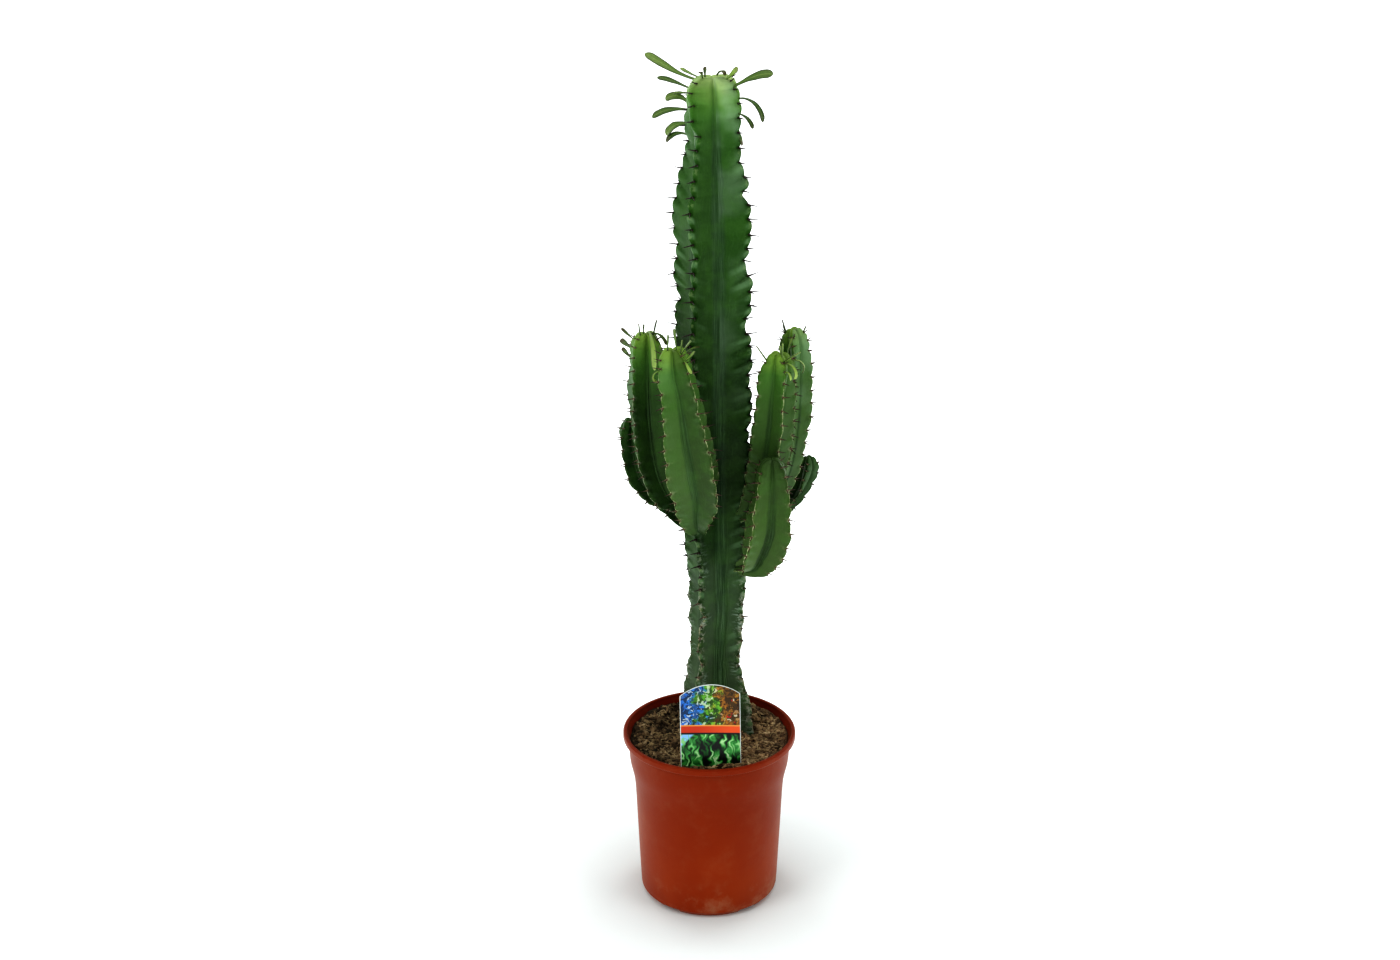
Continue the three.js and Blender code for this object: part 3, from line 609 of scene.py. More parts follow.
def stem_skin(stem, material):
    """The green skin of one stem, closed at both ends."""
    axis = AXES[stem["name"]]
    lengths = skin_lengths(stem, axis.total)
    below = axis.total - lengths
    places, looks = [], {"edge": [], "crest": [], "shade": [], "areole": []}
    young = smoothstep(stem["young_length"], 4, below)
    live = awake(stem, lengths)
    for rib in range(4):
        point, forward, out, side, reach, into = axis.ribs(lengths, rib)
        drawn_in, sway = rib_edge(stem, rib, lengths, point[:, 2], reach)
        groove = reach * stem["groove"] * (1 + stem["young_groove"] * young) * math.sqrt(0.5)
        edge = np.maximum(reach - drawn_in, groove)
        half = np.minimum(stem["margin_half"], reach * 0.2)
        corky = worn_down(stem, point[:, 2])
        strength = stem["ripple"] * (1 - 0.7 * corky) * np.minimum(1, reach / 20) * live * (1 - young) ** 2
        nearest = np.abs(lengths[:, None] - GROWTH[stem["name"], rib][0][None, :]).min(axis=1)
        for share, hand in COLUMNS:
            inner = min(share, 1.0)
            outward = groove + (edge - groove) * inner
            mature, lobe = (1 - inner) ** stem["hollow"], (1 - inner) ** 0.75
            thickness = half + np.maximum(groove - half, 0) * (mature + (lobe - mature) * young)
            thickness = thickness + reach * 0.12 * young * math.sin(math.pi * inner) ** 1.6
            swell, depth = pleats(stem, rib, hand, lengths, inner, edge - outward)
            on_flank = smoothstep(0.2, 0.88, inner) * (1 - 0.75 * smoothstep(0.9, 1, inner))
            thickness = thickness + (swell - 0.6) * strength * on_flank * depth
            seed = WRINKLE_SEED + flank_number(rib, hand)
            wrinkle = value_noise(seed, WRINKLE_LENGTH, lengths + 6 * inner, 2 * inner) * WRINKLE_DEPTH
            thickness = thickness + wrinkle * corky * smoothstep(0.3, 0.9, inner)
            thickness = thickness * (1 - 0.6 * smoothstep(0.93, 1.0, share))
            sideways = hand * np.clip(thickness, 0.3, np.maximum(outward - 0.3, 0.3)) + sway * inner**2
            if share == 0:
                fillet = (1.1 - 0.8 * young) * np.minimum(1, reach / 20)
                outward, sideways = groove + fillet, -(groove + fillet)
            elif share == MARGIN:
                outward, sideways = outward + 0.35 * half, sway
            rows = point + out * outward[:, None] + side * sideways[:, None]
            across = np.linalg.norm(rows - point, axis=1)
            dip = stem["tip_dip"] * np.exp(-((across / (stem["path"][-1][3] * 0.3)) ** 2))
            places.append(rows - forward * (dip * smoothstep(0.35, 0.95, into))[:, None])
            marked = np.clip(1.2 * depth + smoothstep(0.8, 1.0, inner), 0, 1) * live * (1 - young)
            looks["edge"].append(np.full(len(lengths), share))
            looks["crest"].append(PLAIN_CREST + (swell - PLAIN_CREST) * marked * (inner > 0.05))
            # this flank's painted shade, or its painted light where the value is minus
            shade = stem["shades"].get((rib, hand), 0.0) * (inner > 0.03)
            looks["shade"].append(np.full(len(lengths), shade))
            looks["areole"].append(np.exp(-((nearest / 2.0) ** 2)) * inner**8)
    rows, columns = len(lengths), len(places)
    start, end = axis.ribs([0], 0)[0], axis.ribs([axis.total], 0)
    end = end[0] - end[1] * (stem["tip_dip"] + 0.3)
    points = np.concatenate([np.stack(places, axis=1).reshape(-1, 3), start, end])
    attributes = {}
    for key, values in looks.items():
        ends = [1, 1] if key == "crest" else [0, 0]  # at the centres of the root end and the tip
        attributes[key] = np.append(np.stack(values, axis=1), ends)
    attributes["below"] = np.append(np.repeat(below, columns), [axis.total, 0])
    around = np.append(np.tile(COLUMN_GRAIN * np.arange(columns), rows), [0, 0])
    attributes["grain"] = np.stack([around, attributes["below"], 0 * around], axis=1)
    return add_mesh(stem["name"] + "_skin", points, tube_faces(rows, columns), material, attributes)


def skin_material(name, ages, length, groove, horn_colours, mark_strength, trunk=False):
    """Waxy ribbed skin. ages are its colours from the tip down over length, groove is how far the greyer
    floor with its painted shade goes, its tint and its share, horn_colours are those of the worn margin,
    and the last number sets how strong the pleats' painted shade and highlights, the edge's painted
    marks and the old trunk's marks are."""
    shader = Shader(name, specular=0.2, Specular_Tint=(0.7, 1.0, 0.5, 1.0))
    step, noise, plus, times, coat = shader.step, shader.noise, shader.plus, shader.times, shader.coat
    edge, crest, below, areole, shade = shader.attributes("edge", "crest", "below", "areole", "shade")
    grain, place = shader.vector_attribute("grain"), shader.place()

    def grained(across, down, detail):
        return noise(shader.vector("MULTIPLY", grain, (across, down, 1)), 1.0, detail, 0.6)

    streaks, lines, wrinkles = grained(0.9, 0.045, 4), grained(1.7, 0.02, 3), grained(0.12, 0.42, 3)
    wander = times(plus(noise(place, 28, 2), -0.5), 0.06)
    shader.colour = shader.ramp(plus(times(below, 1 / length), wander, clamp=True), ages)
    # painted shade on the flanks turned from the light
    coat(0x22301A, step(shade, 0.0, 1.0), 0.6)
    # the groove's floor: a greyer colour with painted shade, and its fine lines
    depth, groove_colour_and_shade_tint, groove_colour_and_shade_share = groove
    floor = step(plus(edge, times(lines, 0.16)), depth + 0.14, depth - 0.02)
    floor = times(floor, plus(times(step(below, 8, 80), 0.7), 0.3))
    coat(groove_colour_and_shade_tint, floor, groove_colour_and_shade_share)
    coat(0x6C8A68, floor, step(lines, 0.45, 0.68), 0.3)
    coat(0x14260C, floor, step(lines, 0.5, 0.3), 0.35)
    # painted light with some pale bloom on the misted flanks, then soft patches and streaks
    pale_bloom_and_painted_light = plus(times(step(below, 110, 30), 0.66), times(step(below, 430, 200), 0.3))
    coat(0x9CB49C, step(shade, 0.0, -1.0), step(noise(place, 24, 3, 0.5), 0.32, 0.68), pale_bloom_and_painted_light, 0.5)
    coat(0x4A7430, step(noise(place, 55, 4, 0.6), 0.38, 0.68), 0.225)
    coat(0x6C9462, step(streaks, 0.5, 0.75), 0.1)
    # painted shade in the pleats' hollows, painted highlights with some waxy bloom on their crests, and painted
    # shade in the creases below the areoles
    pleats = times(step(edge, 0.25, 0.75), step(below, 20, 110), mark_strength)
    coat(0x163A0A, step(crest, 0.55, 0.15), step(noise(place, 36, 2), 0.35, 0.6), pleats, 0.5)
    coat(0x749670, step(crest, 0.66, 1.0), step(noise(place, 34, 3), 0.4, 0.6), pleats, 0.48)
    coat(0x0A1606, step(crest, 0.25, 0.0), step(edge, 0.6, 0.97), 0.225 + 0.375 * mark_strength)
    worn_and_glint_patches = noise(place, 260, 3, 0.6)
    # painted shade in the edge's notches and painted highlights on its lobes, in patches
    painted_edge_shade_and_glint = times(step(edge, 0.9, 1.0), mark_strength)
    coat(0x10220A, painted_edge_shade_and_glint, step(crest, 0.75, 0.25), 0.45)
    coat(0x8CA070, painted_edge_shade_and_glint, step(crest, 0.7, 0.95), step(worn_and_glint_patches, 0.4, 0.6), 0.4)
    # the old trunk: cork along the edges, grey flanks, bands in the grooves and cross wrinkles
    old = times(step(below, 400, 520), mark_strength)
    coat(0xA0A294, old, step(edge, 0.72, 0.98), step(noise(place, 210, 4, 0.7), 0.5, 0.62), 0.85)
    coat(0x8C9C8A, old, step(edge, 0.2, 0.45), step(edge, 0.95, 0.7), 0.1)
    banded = times(old, step(edge, 0.55, 0.1))
    coat(0x7E9678, banded, step(lines, 0.5, 0.66), 0.5)
    coat(0x122412, banded, step(lines, 0.52, 0.34), 0.7)
    creased = times(step(edge, 0.42, 0.85), step(noise(place, 38, 2), 0.46, 0.62))
    coat(0x9AAC9C, creased, old, step(wrinkles, 0.5, 0.62), 0.75)
    # the horny line along the edge, and specks
    line = plus(step(edge, 0.99, 1.05), times(areole, 0.5), clamp=True)
    if trunk:
        shown = times(step(below, 440, 560), step(worn_and_glint_patches, 0.42, 0.56))
    else:
        broken = plus(times(step(worn_and_glint_patches, 0.42, 0.6), 0.6), 0.12)
        shown = times(step(below, 6, 40), plus(broken, areole, clamp=True))
    coat(shader.mix(step(worn_and_glint_patches, 0.35, 0.65), *horn_colours), line, shown)
    coat(0x6F8C5A, step(noise(place, 620, 2), 0.72, 0.8), 0.25)
    margin = step(edge, 0.88, 0.98)
    dull = plus(times(noise(place, 120, 3), 0.16), 0.38)
    shader.link(Roughness=plus(dull, times(margin, 0.35)))
    shader.link(Specular_IOR_Level=plus(times(margin, -0.16), 0.2))
    relief = plus(times(streaks, 0.6), noise(place, 900, 3, 0.6))
    return shader.finish(plus(relief, times(wrinkles, creased, 2.4)), 0.25, 0.0006)


TRUNK_AGES = [
    (0.0, 0xA8C07C), (0.018, 0x6E924A), (0.036, 0x4F7A34), (0.06, 0x3A6428), (0.085, 0x315722),
    (0.15, 0x2A4E1C), (0.3, 0x234516), (0.42, 0x1B3711), (0.56, 0x193210), (0.68, 0x284022),
    (0.8, 0x2D4127), (1.0, 0x334228),
]
TRUNK_AGE_LENGTH, BRANCH_AGE_LENGTH = 650, 200
# Name: ages, groove with its painted shade, horn colours and strength of the painted pleat and edge marks.
BRANCH_SKINS = {
    "bright": (
        [(0.0, 0x82A248), (0.1, 0x4E7634), (0.22, 0x486832), (0.6, 0x4A6236), (1.0, 0x475C37)],
        (0.2, 0x1E3A1A, 0.55), (0x7E8458, 0xC2C8A0), 0.35,
    ),
    "old": (
        [(0.0, 0x3C522C), (0.3, 0x465F2F), (1.0, 0x60764A)],
        (0.25, 0x182C12, 0.8), (0x8A8A60, 0xC6C8A4), 0.35,
    ),
    "dark": (
        [(0, 0x82A248), (0.08, 0x5A8038), (0.15, 0x446A2E), (0.3, 0x304A24), (0.6, 0x283E1C), (1, 0x2E4424)],
        (0.2, 0x0E2008, 0.6), (0x7C8068, 0xB0B6A0), 0.4,
    ),
    # a darker copy for the small branches that sit in shade: painted shade
    "painted_shade": (
        [(0.0, 0x2C4A1E), (0.2, 0x21391A), (1.0, 0x1B3013)],
        (0.2, 0x0E2008, 0.6), (0x5C6046, 0x8A9078), 0.4,
    ),
}
TRUNK_LOOKS = (0.24, 0x22382A, 0.5), (0x5E5C44, 0xA9A68C), 0.8  # groove colour with painted shade, horn colours and mark strength
SKINS = {"trunk": skin_material("main_stem_skin", TRUNK_AGES, TRUNK_AGE_LENGTH, *TRUNK_LOOKS, trunk=True)}
for name, (ages, *looks) in BRANCH_SKINS.items():
    SKINS[name] = skin_material(name + "_branch_skin", ages, BRANCH_AGE_LENGTH, *looks)

for stem in STEMS:
    finish_piece(stem_skin(stem, SKINS[stem["skin"]]), stem["name"], stem["slot"])

# ---- spines ----

SPINE_SIDES = 6
SPINE_SHARES = np.array([0, 0.16, 0.42, 0.72, 1.0])
SPINE_TAPER, SPINE_FOOT = 0.62, 1.5  # exponent of the taper, and how much wider the foot is
SPINE_FITS = (1.0, 0.65, 0.4)  # a spine that would touch another stem stays shorter
SPINE_CLEARANCE, LOWEST_SPINE = 2.0, 170
RIB_ROOM = 0.88  # a spine may reach in between another stem's ribs by the rest of their reach
PAD_RINGS, PAD_SIDES = 4, 8
PAD_SIZE, YOUNG_PAD_SIZE = (1.1, 1.6, 0.9), (0.9, 1.3, 0.7)  # half width, half height and depth


def add_spine(batch, root, direction, length, radius, hook, horn):
    """A tapering curved thorn. hook is the sideways shift of its point."""
    helper = np.array([0, 0, 1.0]) if abs(direction[2]) < 0.9 else np.array([1.0, 0, 0])
    first = unit(np.cross(direction, helper))
    second = np.cross(direction, first)
    sides, shares, angles = np.arange(SPINE_SIDES), SPINE_SHARES[:-1], around(SPINE_SIDES)
    ring = first * np.cos(angles)[:, None] + second * np.sin(angles)[:, None]
    rows = []
    for share in shares:
        middle = root + direction * length * share + hook * share**2
        rows.append(middle + ring * radius * (1 - share) ** SPINE_TAPER * (1.0 if share else SPINE_FOOT))
    points = np.concatenate([*rows, [root + direction * length + hook]])
    last = (len(shares) - 1) * SPINE_SIDES + sides
    fan = np.stack([last, np.roll(last, -1), np.full(SPINE_SIDES, len(points) - 1)], axis=1)
    bottom = [[0, side + 1, side] for side in sides[1:-1]]
    quads = grid_quads(len(shares), SPINE_SIDES, closed=True)
    toward = np.append(np.repeat(shares, SPINE_SIDES), 1.0)
    batch.add(points, np.concatenate([fan, bottom]), quads, toward=toward, horn=horn, tone=random.random())


def add_pad(batch, centre, out, side, up, size, horn):
    """The small horny cushion that carries a pair of spines."""
    width, height, depth = size
    points = []
    for polar in math.pi * np.arange(1, PAD_RINGS + 1) / (PAD_RINGS + 1):
        for angle in around(PAD_SIDES):
            lump = 1 + random.uniform(-0.12, 0.12)
            across = side * math.cos(angle) * width + up * math.sin(angle) * height
            points.append(centre + (across * math.sin(polar) - out * math.cos(polar) * depth) * lump)
    points = [*points, centre - out * depth, centre + out * depth]
    quads, ends = (faces[:, ::-1] for faces in tube_faces(PAD_RINGS, PAD_SIDES))
    batch.add(points, ends, quads, toward=-0.4, horn=horn, tone=random.random())


def has_room(stem, tip, clearance=SPINE_CLEARANCE):
    """Whether a point is above the mix and clear of the other stems."""
    return tip[2] >= LOWEST_SPINE and all(
        (np.linalg.norm(axis.points - tip, axis=1) - axis.reach * RIB_ROOM).min() >= clearance
        for name, axis in AXES.items()
        if name != stem["name"]
    )


def stem_spines(stem, material):
    """The spines of one stem, in pairs on their pads along its ribs."""
    axis, batch = AXES[stem["name"]], Batch()
    is_main = stem is MAIN_STEM
    for rib in range(4):
        lengths = GROWTH[stem["name"], rib][0]
        point, forward, out, side, reach, into = axis.ribs(lengths, rib)
        drawn_in, sway = rib_edge(stem, rib, lengths, point[:, 2], reach)
        spine_lengths = along_shares(stem["spine_lengths"], lengths / axis.total)
        for i in range(len(lengths)):
            outward = unit(out[i] + forward[i] * 0.9 * min(0.9, into[i]))
            upward = unit(np.cross(outward, -side[i]))
            seat = point[i] + out[i] * (reach[i] - drawn_in[i] + 0.5) + side[i] * sway[i]
            old = smoothstep(380, 260, point[i, 2]) if is_main else 0.0
            horn, scale, radius = (0.25 + 0.6 * old, 1.0 - 0.4 * old, 0.76) if is_main else (0.85, 0.7, 0.6)
            if has_room(stem, seat, 0.0):
                size = np.array(YOUNG_PAD_SIZE if into[i] > 0.25 else PAD_SIZE) * scale
                add_pad(batch, seat + outward * 0.1, outward, side[i], upward, size, horn)
            for hand in (-1, 1):
                spread = hand * random.uniform(0.55, 1.0)
                rise = random.uniform(-0.25, 0.35)
                direction = unit(outward + side[i] * spread + upward * rise)
                length = spine_lengths[i] * random.uniform(0.8, 1.2)
                root = seat + outward * 0.3 + side[i] * hand * 0.45
                if old > 0.3 and random.random() < 0.75:
                    length *= 0.25  # most spines low on the trunk are broken off
                hook = side[i] * -hand * length * 0.12 + upward * length * random.uniform(-0.14, 0.05)
                for fit in SPINE_FITS:
                    if has_room(stem, root + direction * length * fit):
                        add_spine(batch, root, direction, length * fit, radius, hook * fit, horn)
                        break
    return batch.to_object(stem["name"] + "_spines", material)


def spine_material():
    """Horn that is dark on the trunk and paler at the root on the branches, and the pads below it."""
    shader = Shader("spine_horn", roughness=0.5, specular=0.4)
    step = shader.step
    toward, horn, tone = shader.attributes("toward", "horn", "tone")
    dark = shader.ramp(toward, [(0.0, 0x33261B), (0.35, 0x1E1511), (0.85, 0x2A1F1A), (1.0, 0x6A5A4C)])
    pale = shader.ramp(toward, [(0.0, 0x86785A), (0.3, 0x4A3626), (0.75, 0x281A13), (1.0, 0x1C110C)])
    thorn = shader.mix(step(horn, 0.4, 0.8), dark, pale)
    grit = shader.noise(shader.place(), 900, 3)
    shader.colour = shader.mix(step(horn, 0.3, 0.8), 0x34341F, 0x9AA07A)
    shader.coat(0x4A3220, step(grit, 0.45, 0.65), 0.36)
    shader.coat(thorn, step(toward, -0.3, -0.05))
    shader.coat(0x2A1B14, tone, 0.3)
    return shader.finish(grit, 0.4, 0.0004)


SPINE_HORN = spine_material()
for stem in STEMS:
    finish_piece(stem_spines(stem, SPINE_HORN), stem["name"], stem["slot"])

# ---- leaves ----

LEAF_ROOT = 3
LEAF_FIELDS = ("rib", "below", "length", "width", "rise", "bend", "curl", "turn", "roll", "yellow", "brown")
# rib number, distance below the stem's tip, length and width; then degrees: rise above the level where the
# leaf leaves the rib, bend along all of it, more bend towards its end (minus is downwards), turn to the side
# and roll; at last how yellow it is and how brown its tip is.
LEAVES = {
    "main_stem": [
        (3, 6, 60.5, 7.4, 8, 26, -18, 0, -45, 0.4, 0),
        (3, 3.5, 22.5, 3.5, 8, 10, 0, -8, -20, 0.6, 0),
        (3, 15, 35.5, 5.4, 18, -8, -10, 5, -35, 0.15, 0),
        (3, 29.5, 26.5, 8, 46, -80, 0, 5, -56, 0.3, 0),
        (3, 19, 14, 3.5, 4, -10, 0, 18, -30, 0.3, 0),
        (3, 34.5, 41, 6.8, 4, -32, -10, 4, -62, 0.15, 0),
        (3, 47, 26.5, 9, 6, -60, -16, 4, -60, 0.3, 0),
        (3, 57, 24.5, 5.6, 18, -75, 0, 2, -62, 0, 0.4),
        (1, 10, 43.5, 8, 29, -14, -20, 5, 62, 0.2, 0),
        (1, 3.5, 16, 5.5, 36, 0, 0, -4, 74, 0.9, 0.4),
        (1, 20, 36.5, 4.4, 22, -105, -10, 6, 35, 0, 0.2),
        (1, 32, 20, 3.8, 4, -72, -10, 4, 35, 0, 0.3),
        (1, 43, 15, 3.5, -60, -24, 0, 4, 0, 0.2, 1),
        (0, 2, 8, 3.6, 80, -60, -60, 26, 0, 0.1, 0.9),
        (0, 1, 6, 4, 86, 0, 0, 86, 0, 0.1, 0.9),
        (1, 0.4, 13, 4, 50, -60, -90, -14, 0, 0.1, 0.9),
        (2, 14, 31.5, 7, 6, -24, 0, 45, 0, 0.2, 0),
        (2, 20, 27.5, 6, 4, -45, 0, 46, 0, 0.15, 0),
        (2, 33, 29.5, 7, 0, -60, 0, 38, 0, 0.2, 0),
        (2, 46, 18, 5, 0, -65, 0, 34, 0, 0.2, 0.3),
    ],
    "branch_left_front": [
        (0, 1.5, 12, 2.4, 96, 2, 0, 0, 0, 0.3, 0),
        (1, 1.5, 17, 2.6, 94, 4, 0, -20, 0, 0.3, 0),
        (3, 10, 6, 2.6, 60, 20, 0, 0, 0, 0.6, 0),
        (1, 4, 11, 3, 70, 10, 0, 20, 40, 0.6, 0),
        (1, 5, 16, 3.5, 56, -10, 0, 20, 30, 0.6, 0),
        (1, 11, 18, 3.6, 36, 8, 0, 0, 60, 0.5, 0.1),
        (1, 8, 14, 3.4, -22, -60, 60, -6, 30, 1.0, 0.1),
        (2, 10, 15, 4, 20, -30, 0, 0, 0, 0.4, 0.7),
        (0, 17, 14, 3.8, 14, -165, -20, -32, 40, 1.0, 0),
    ],
    "branch_left_tall": [
        (3, 11, 15, 3, 28, 4, 0, 0, -40, 0.1, 0.9),
        (3, 20, 13, 5, 24, 4, 0, 0, -60, 0.2, 0.95),
        (3, 30, 12, 4, 34, 6, 0, 0, -60, 0.2, 0.8),
        (0, 3.5, 10, 2.4, 84, 0, 0, -50, 0, 0.2, 0.6),
        (0, 1, 6, 2.2, 86, 0, 0, 90, 0, 0.3, 0.4),
        (1, 3, 13, 3, 76, 0, 0, 20, 0, 0.3, 0.4),
        (1, 1.5, 20, 3.4, 30, -104, 0, 0, 20, 0.2, 0.5),
        (1, 0.5, 52, 6.4, 24, -112, 0, -43, 40, 0.8, 0),
        (2, 10, 15, 4, 10, -20, 0, 40, 0, 0.4, 0),
    ],
    "branch_right_tall": [
        (0, 8, 16, 2.2, 56, 0, 0, 0, 0, 0.6, 0.5),
        (1, 3.5, 8, 2.2, 100, 0, 0, 10, 0, 0.6, 0),
        (1, 6, 14, 2.6, 84, 6, 0, 20, 0, 0.5, 0),
        (1, 8, 26, 2.4, 36, -6, 0, 20, 20, 0.8, 0),
        (1, 9, 23, 3.4, 26, -120, -60, 30, 30, 1.0, 0.1),
        (1, 18, 12, 2.6, 66, -170, 0, 20, 30, 1.0, 0),
        (2, 5, 14, 3, 70, -10, 0, 20, 0, 0.5, 0),
        (2, 11, 21, 3.5, 20, -120, -40, 0, 30, 0.9, 0),
    ],
    "branch_right_back": [
        (0, 5, 11, 2.6, 82, 0, 0, 20, 0, 0.1, 0.95),
        (0, 6, 6, 2.2, 80, 0, 0, -20, 0, 0.3, 0.4),
        (1, 11, 5, 2.2, 66, 10, 0, 60, 0, 0.3, 0.6),
        (2, 7, 4.5, 2.4, 60, -10, 0, 20, 0, 0.3, 0.4),
    ],
}
LEAF_WIDTHS = [0.32, 0.34, 0.42, 0.56, 0.76, 0.93, 1.0, 1.0, 0.94]  # from root to tip, evenly spaced
LEAF_SHARES = np.concatenate([np.linspace(0, 0.84, 16), [0.88, 0.91, 0.935, 0.955, 0.972, 0.986, 0.996, 1.0]])
LEAF_COLUMNS = np.linspace(-1, 1, 9)
LEAF_THICKNESS = 1.1
LEAF_ROUNDING = 0.14  # the last share of the blade, where its outline closes


def leaf_surfaces(stem, leaf, phase):
    """Upper and lower points of a blade that is folded a little along its midrib, row by row."""
    axis = AXES[stem["name"]]
    point, forward, out, side, reach, _ = (v[0] for v in axis.ribs([axis.total - leaf["below"]], leaf["rib"]))
    turn, roll = np.radians(leaf["turn"]), np.radians(leaf["roll"])
    heading, across = rotated(out, forward, turn), rotated(side, forward, turn)
    middle = point + out * max(0.0, reach - LEAF_ROOT)
    tops, bottoms = [], []
    previous = 0.0
    for share in LEAF_SHARES:
        halfway = (share + previous) / 2
        slope = math.radians(leaf["rise"] + leaf["bend"] * halfway + leaf["curl"] * halfway**4)
        ahead = heading * math.cos(slope) + forward * math.sin(slope)
        middle = middle + ahead * (share - previous) * (leaf["length"] + LEAF_ROOT)
        previous = share
        wide = rotated(across, ahead, roll)
        normal = np.cross(ahead, wide)
        half = leaf["width"] / 2 * float(along_shares(LEAF_WIDTHS, share)[0])
        end = max(0.0, (share - 1 + LEAF_ROUNDING) / LEAF_ROUNDING)
        half *= math.sqrt(max(0.01, 1 - end**2))
        for column in LEAF_COLUMNS:
            fold = 0.2 * half * (abs(column) - 0.4) + 0.06 * half * math.sin(share * 19 + phase) * column**2
            thick = LEAF_THICKNESS / 2 * (1.25 - 0.75 * column**2) * (1 - 0.4 * share)
            base = middle + wide * half * column + normal * fold
            tops.append(base + normal * thick)
            bottoms.append(base - normal * thick * (1 + 0.5 * math.exp(-((column / 0.2) ** 2))))
    return tops + bottoms


def stem_leaves(stem, material):
    """The young leaves near one stem's tip."""
    batch = Batch()
    out, across = np.meshgrid(LEAF_SHARES, LEAF_COLUMNS, indexing="ij")
    looks = {"across": np.tile(across.ravel(), 2), "out": np.tile(out.ravel(), 2)}
    quads = sheet_faces(len(LEAF_SHARES), len(LEAF_COLUMNS))
    for row in LEAVES[stem["name"]]:
        leaf = dict(zip(LEAF_FIELDS, row))
        points = leaf_surfaces(stem, leaf, random.uniform(0, 6.3))
        batch.add(points, quads=quads, yellow=leaf["yellow"], brown=leaf["brown"], **looks)
    return batch.to_object(stem["name"] + "_leaves", material)


def leaf_material():
    """Green or yellow blades with a pale midrib, dark rims and sometimes a brown tip."""
    shader = Shader("young_leaf", roughness=0.4, specular=0.4)
    step, noise, coat, place = shader.step, shader.noise, shader.coat, shader.place()
    across, out, yellow, brown = shader.attributes("across", "out", "yellow", "brown")
    green = shader.ramp(out, [(0.0, 0x465C2E), (0.35, 0x3A5626), (0.8, 0x385424), (1.0, 0x324A22)])
    gold = shader.ramp(out, [(0.0, 0x6C8A3A), (0.5, 0x86A44A), (1.0, 0xA4BE64)])
    shader.colour = shader.mix(yellow, green, gold)
    coat(0x3F6A2B, step(noise(place, 240, 4), 0.42, 0.66), 0.15)
    off_middle = shader.math("ABSOLUTE", across)
    coat(0x8AA05C, step(off_middle, 0.16, 0.02), 0.55)
    coat(0x222C18, step(off_middle, 0.6, 0.95), 0.75)
    coat(0x4A3420, step(shader.plus(out, shader.times(noise(place, 500, 2), 0.25)), 0.78, 1.02), brown)
    coat(0x4F5A30, step(brown, 0.8, 0.9), 0.35)
    return shader.finish(noise(place, 700, 3), 0.2, 0.0004)


YOUNG_LEAF = leaf_material()
for stem in STEMS:
    if stem["name"] in LEAVES:
        finish_piece(stem_leaves(stem, YOUNG_LEAF), stem["name"], stem["slot"])

# ---- the pot ----

POT_SEGMENTS = 360
FOOT_INNER, FOOT_RADIUS, FOOT_TOP = 58, 63.5, 2.4
NOTCHES, NOTCH_DEPTH = 5, 3.0
NOTCH_HALF, NOTCH_RAMP = 9 / FOOT_RADIUS, 0.02  # radians
FIRST_NOTCH = math.radians(-36)
DRAIN_HOLES, DRAIN_RADIUS, DRAIN_CIRCLE, DRAIN_SIDES = 8, 4.5, 46, 24
DRILL_START, DRILL_END = -3, 9


def arc(centre, radius, start, end, count):
    """Points of an arc in the pot's section, angles in degrees from outwards, turning upwards."""
    angles = np.radians(np.linspace(start, end, count))
    return [(centre[0] + radius * math.cos(a), centre[1] + radius * math.sin(a)) for a in angles]


# Radius and height, from the middle of the underside round the lip to the middle of the floor.
POT_SECTION = [
    (0.01, 0), (15.5, 0), *arc((15.5, 1.0), 1.0, -90, 0, 3), (17.5, 2.5), (40, 2.5), (59.2, 2.5),
    *arc((60.8, 1.2), 1.2, 180, 270, 4), (62.4, 0), *arc((62.6, 1.2), 1.2, -80, -20, 4), (65.6, 3.2),
    *arc((65.0, 6.5), 3.1, -35, -4, 5), (68.6, 14), (69.9, 42), (71.3, 72), (72.6, 102), (73.4, 116),
    (74.1, 123), (75.1, 129), (76.5, 135), (77.8, 140.5), (78.6, 146), (79.0, 152), (79.1, 161.2),
    *arc((80.9, 164.9), 1.8, 200, 110, 5),
    *arc((83.0, 168.5), 2.0, -95, 0, 7),
    *arc((82.9, 171.7), 2.1, 15, 100, 6),
    *arc((82.2, 172.4), 1.4, 100, 185, 5),
    (80.3, 170.6), (78.6, 167.6), (77.5, 164.5), (76.6, 158), (75.0, 150), (73.4, 143), (72.5, 137),
    (70.9, 100), (68.6, 50), (66.6, 9.5), *arc((63.0, 8.0), 3.0, 0, -80, 4), (40, 5), (0.01, 5),
]


def pot_piece(material):
    """The turned pot with the notches in its foot ring and the drain holes in its floor."""
    section = np.array(POT_SECTION)
    radius, height = section[:, :1], section[:, 1:]
    angles = around(POT_SEGMENTS)
    pitch = 2 * math.pi / NOTCHES
    turn = (angles - FIRST_NOTCH) % pitch
    notch = smoothstep(NOTCH_HALF + NOTCH_RAMP, NOTCH_HALF - NOTCH_RAMP, np.minimum(turn, pitch - turn))
    foot = (radius > FOOT_INNER) & (height < FOOT_TOP)
    wobble = 0.12 * np.sin(2 * angles + 0.6) + 0.05 * np.sin(5 * angles)
    out = radius + wobble * smoothstep(20, 60, radius) * smoothstep(10, 120, height)
    up = height + (NOTCH_DEPTH - height * 0.4) * foot * notch
    points = np.stack([out * np.sin(angles), -out * np.cos(angles), up], axis=-1).reshape(-1, 3)
    points = np.concatenate([points, [[0, 0, 0], [0, 0, 5]]])
    pot = add_mesh("nursery_pot", points, tube_faces(len(section), POT_SEGMENTS), material)
    drill_holes(pot, material)
    return pot


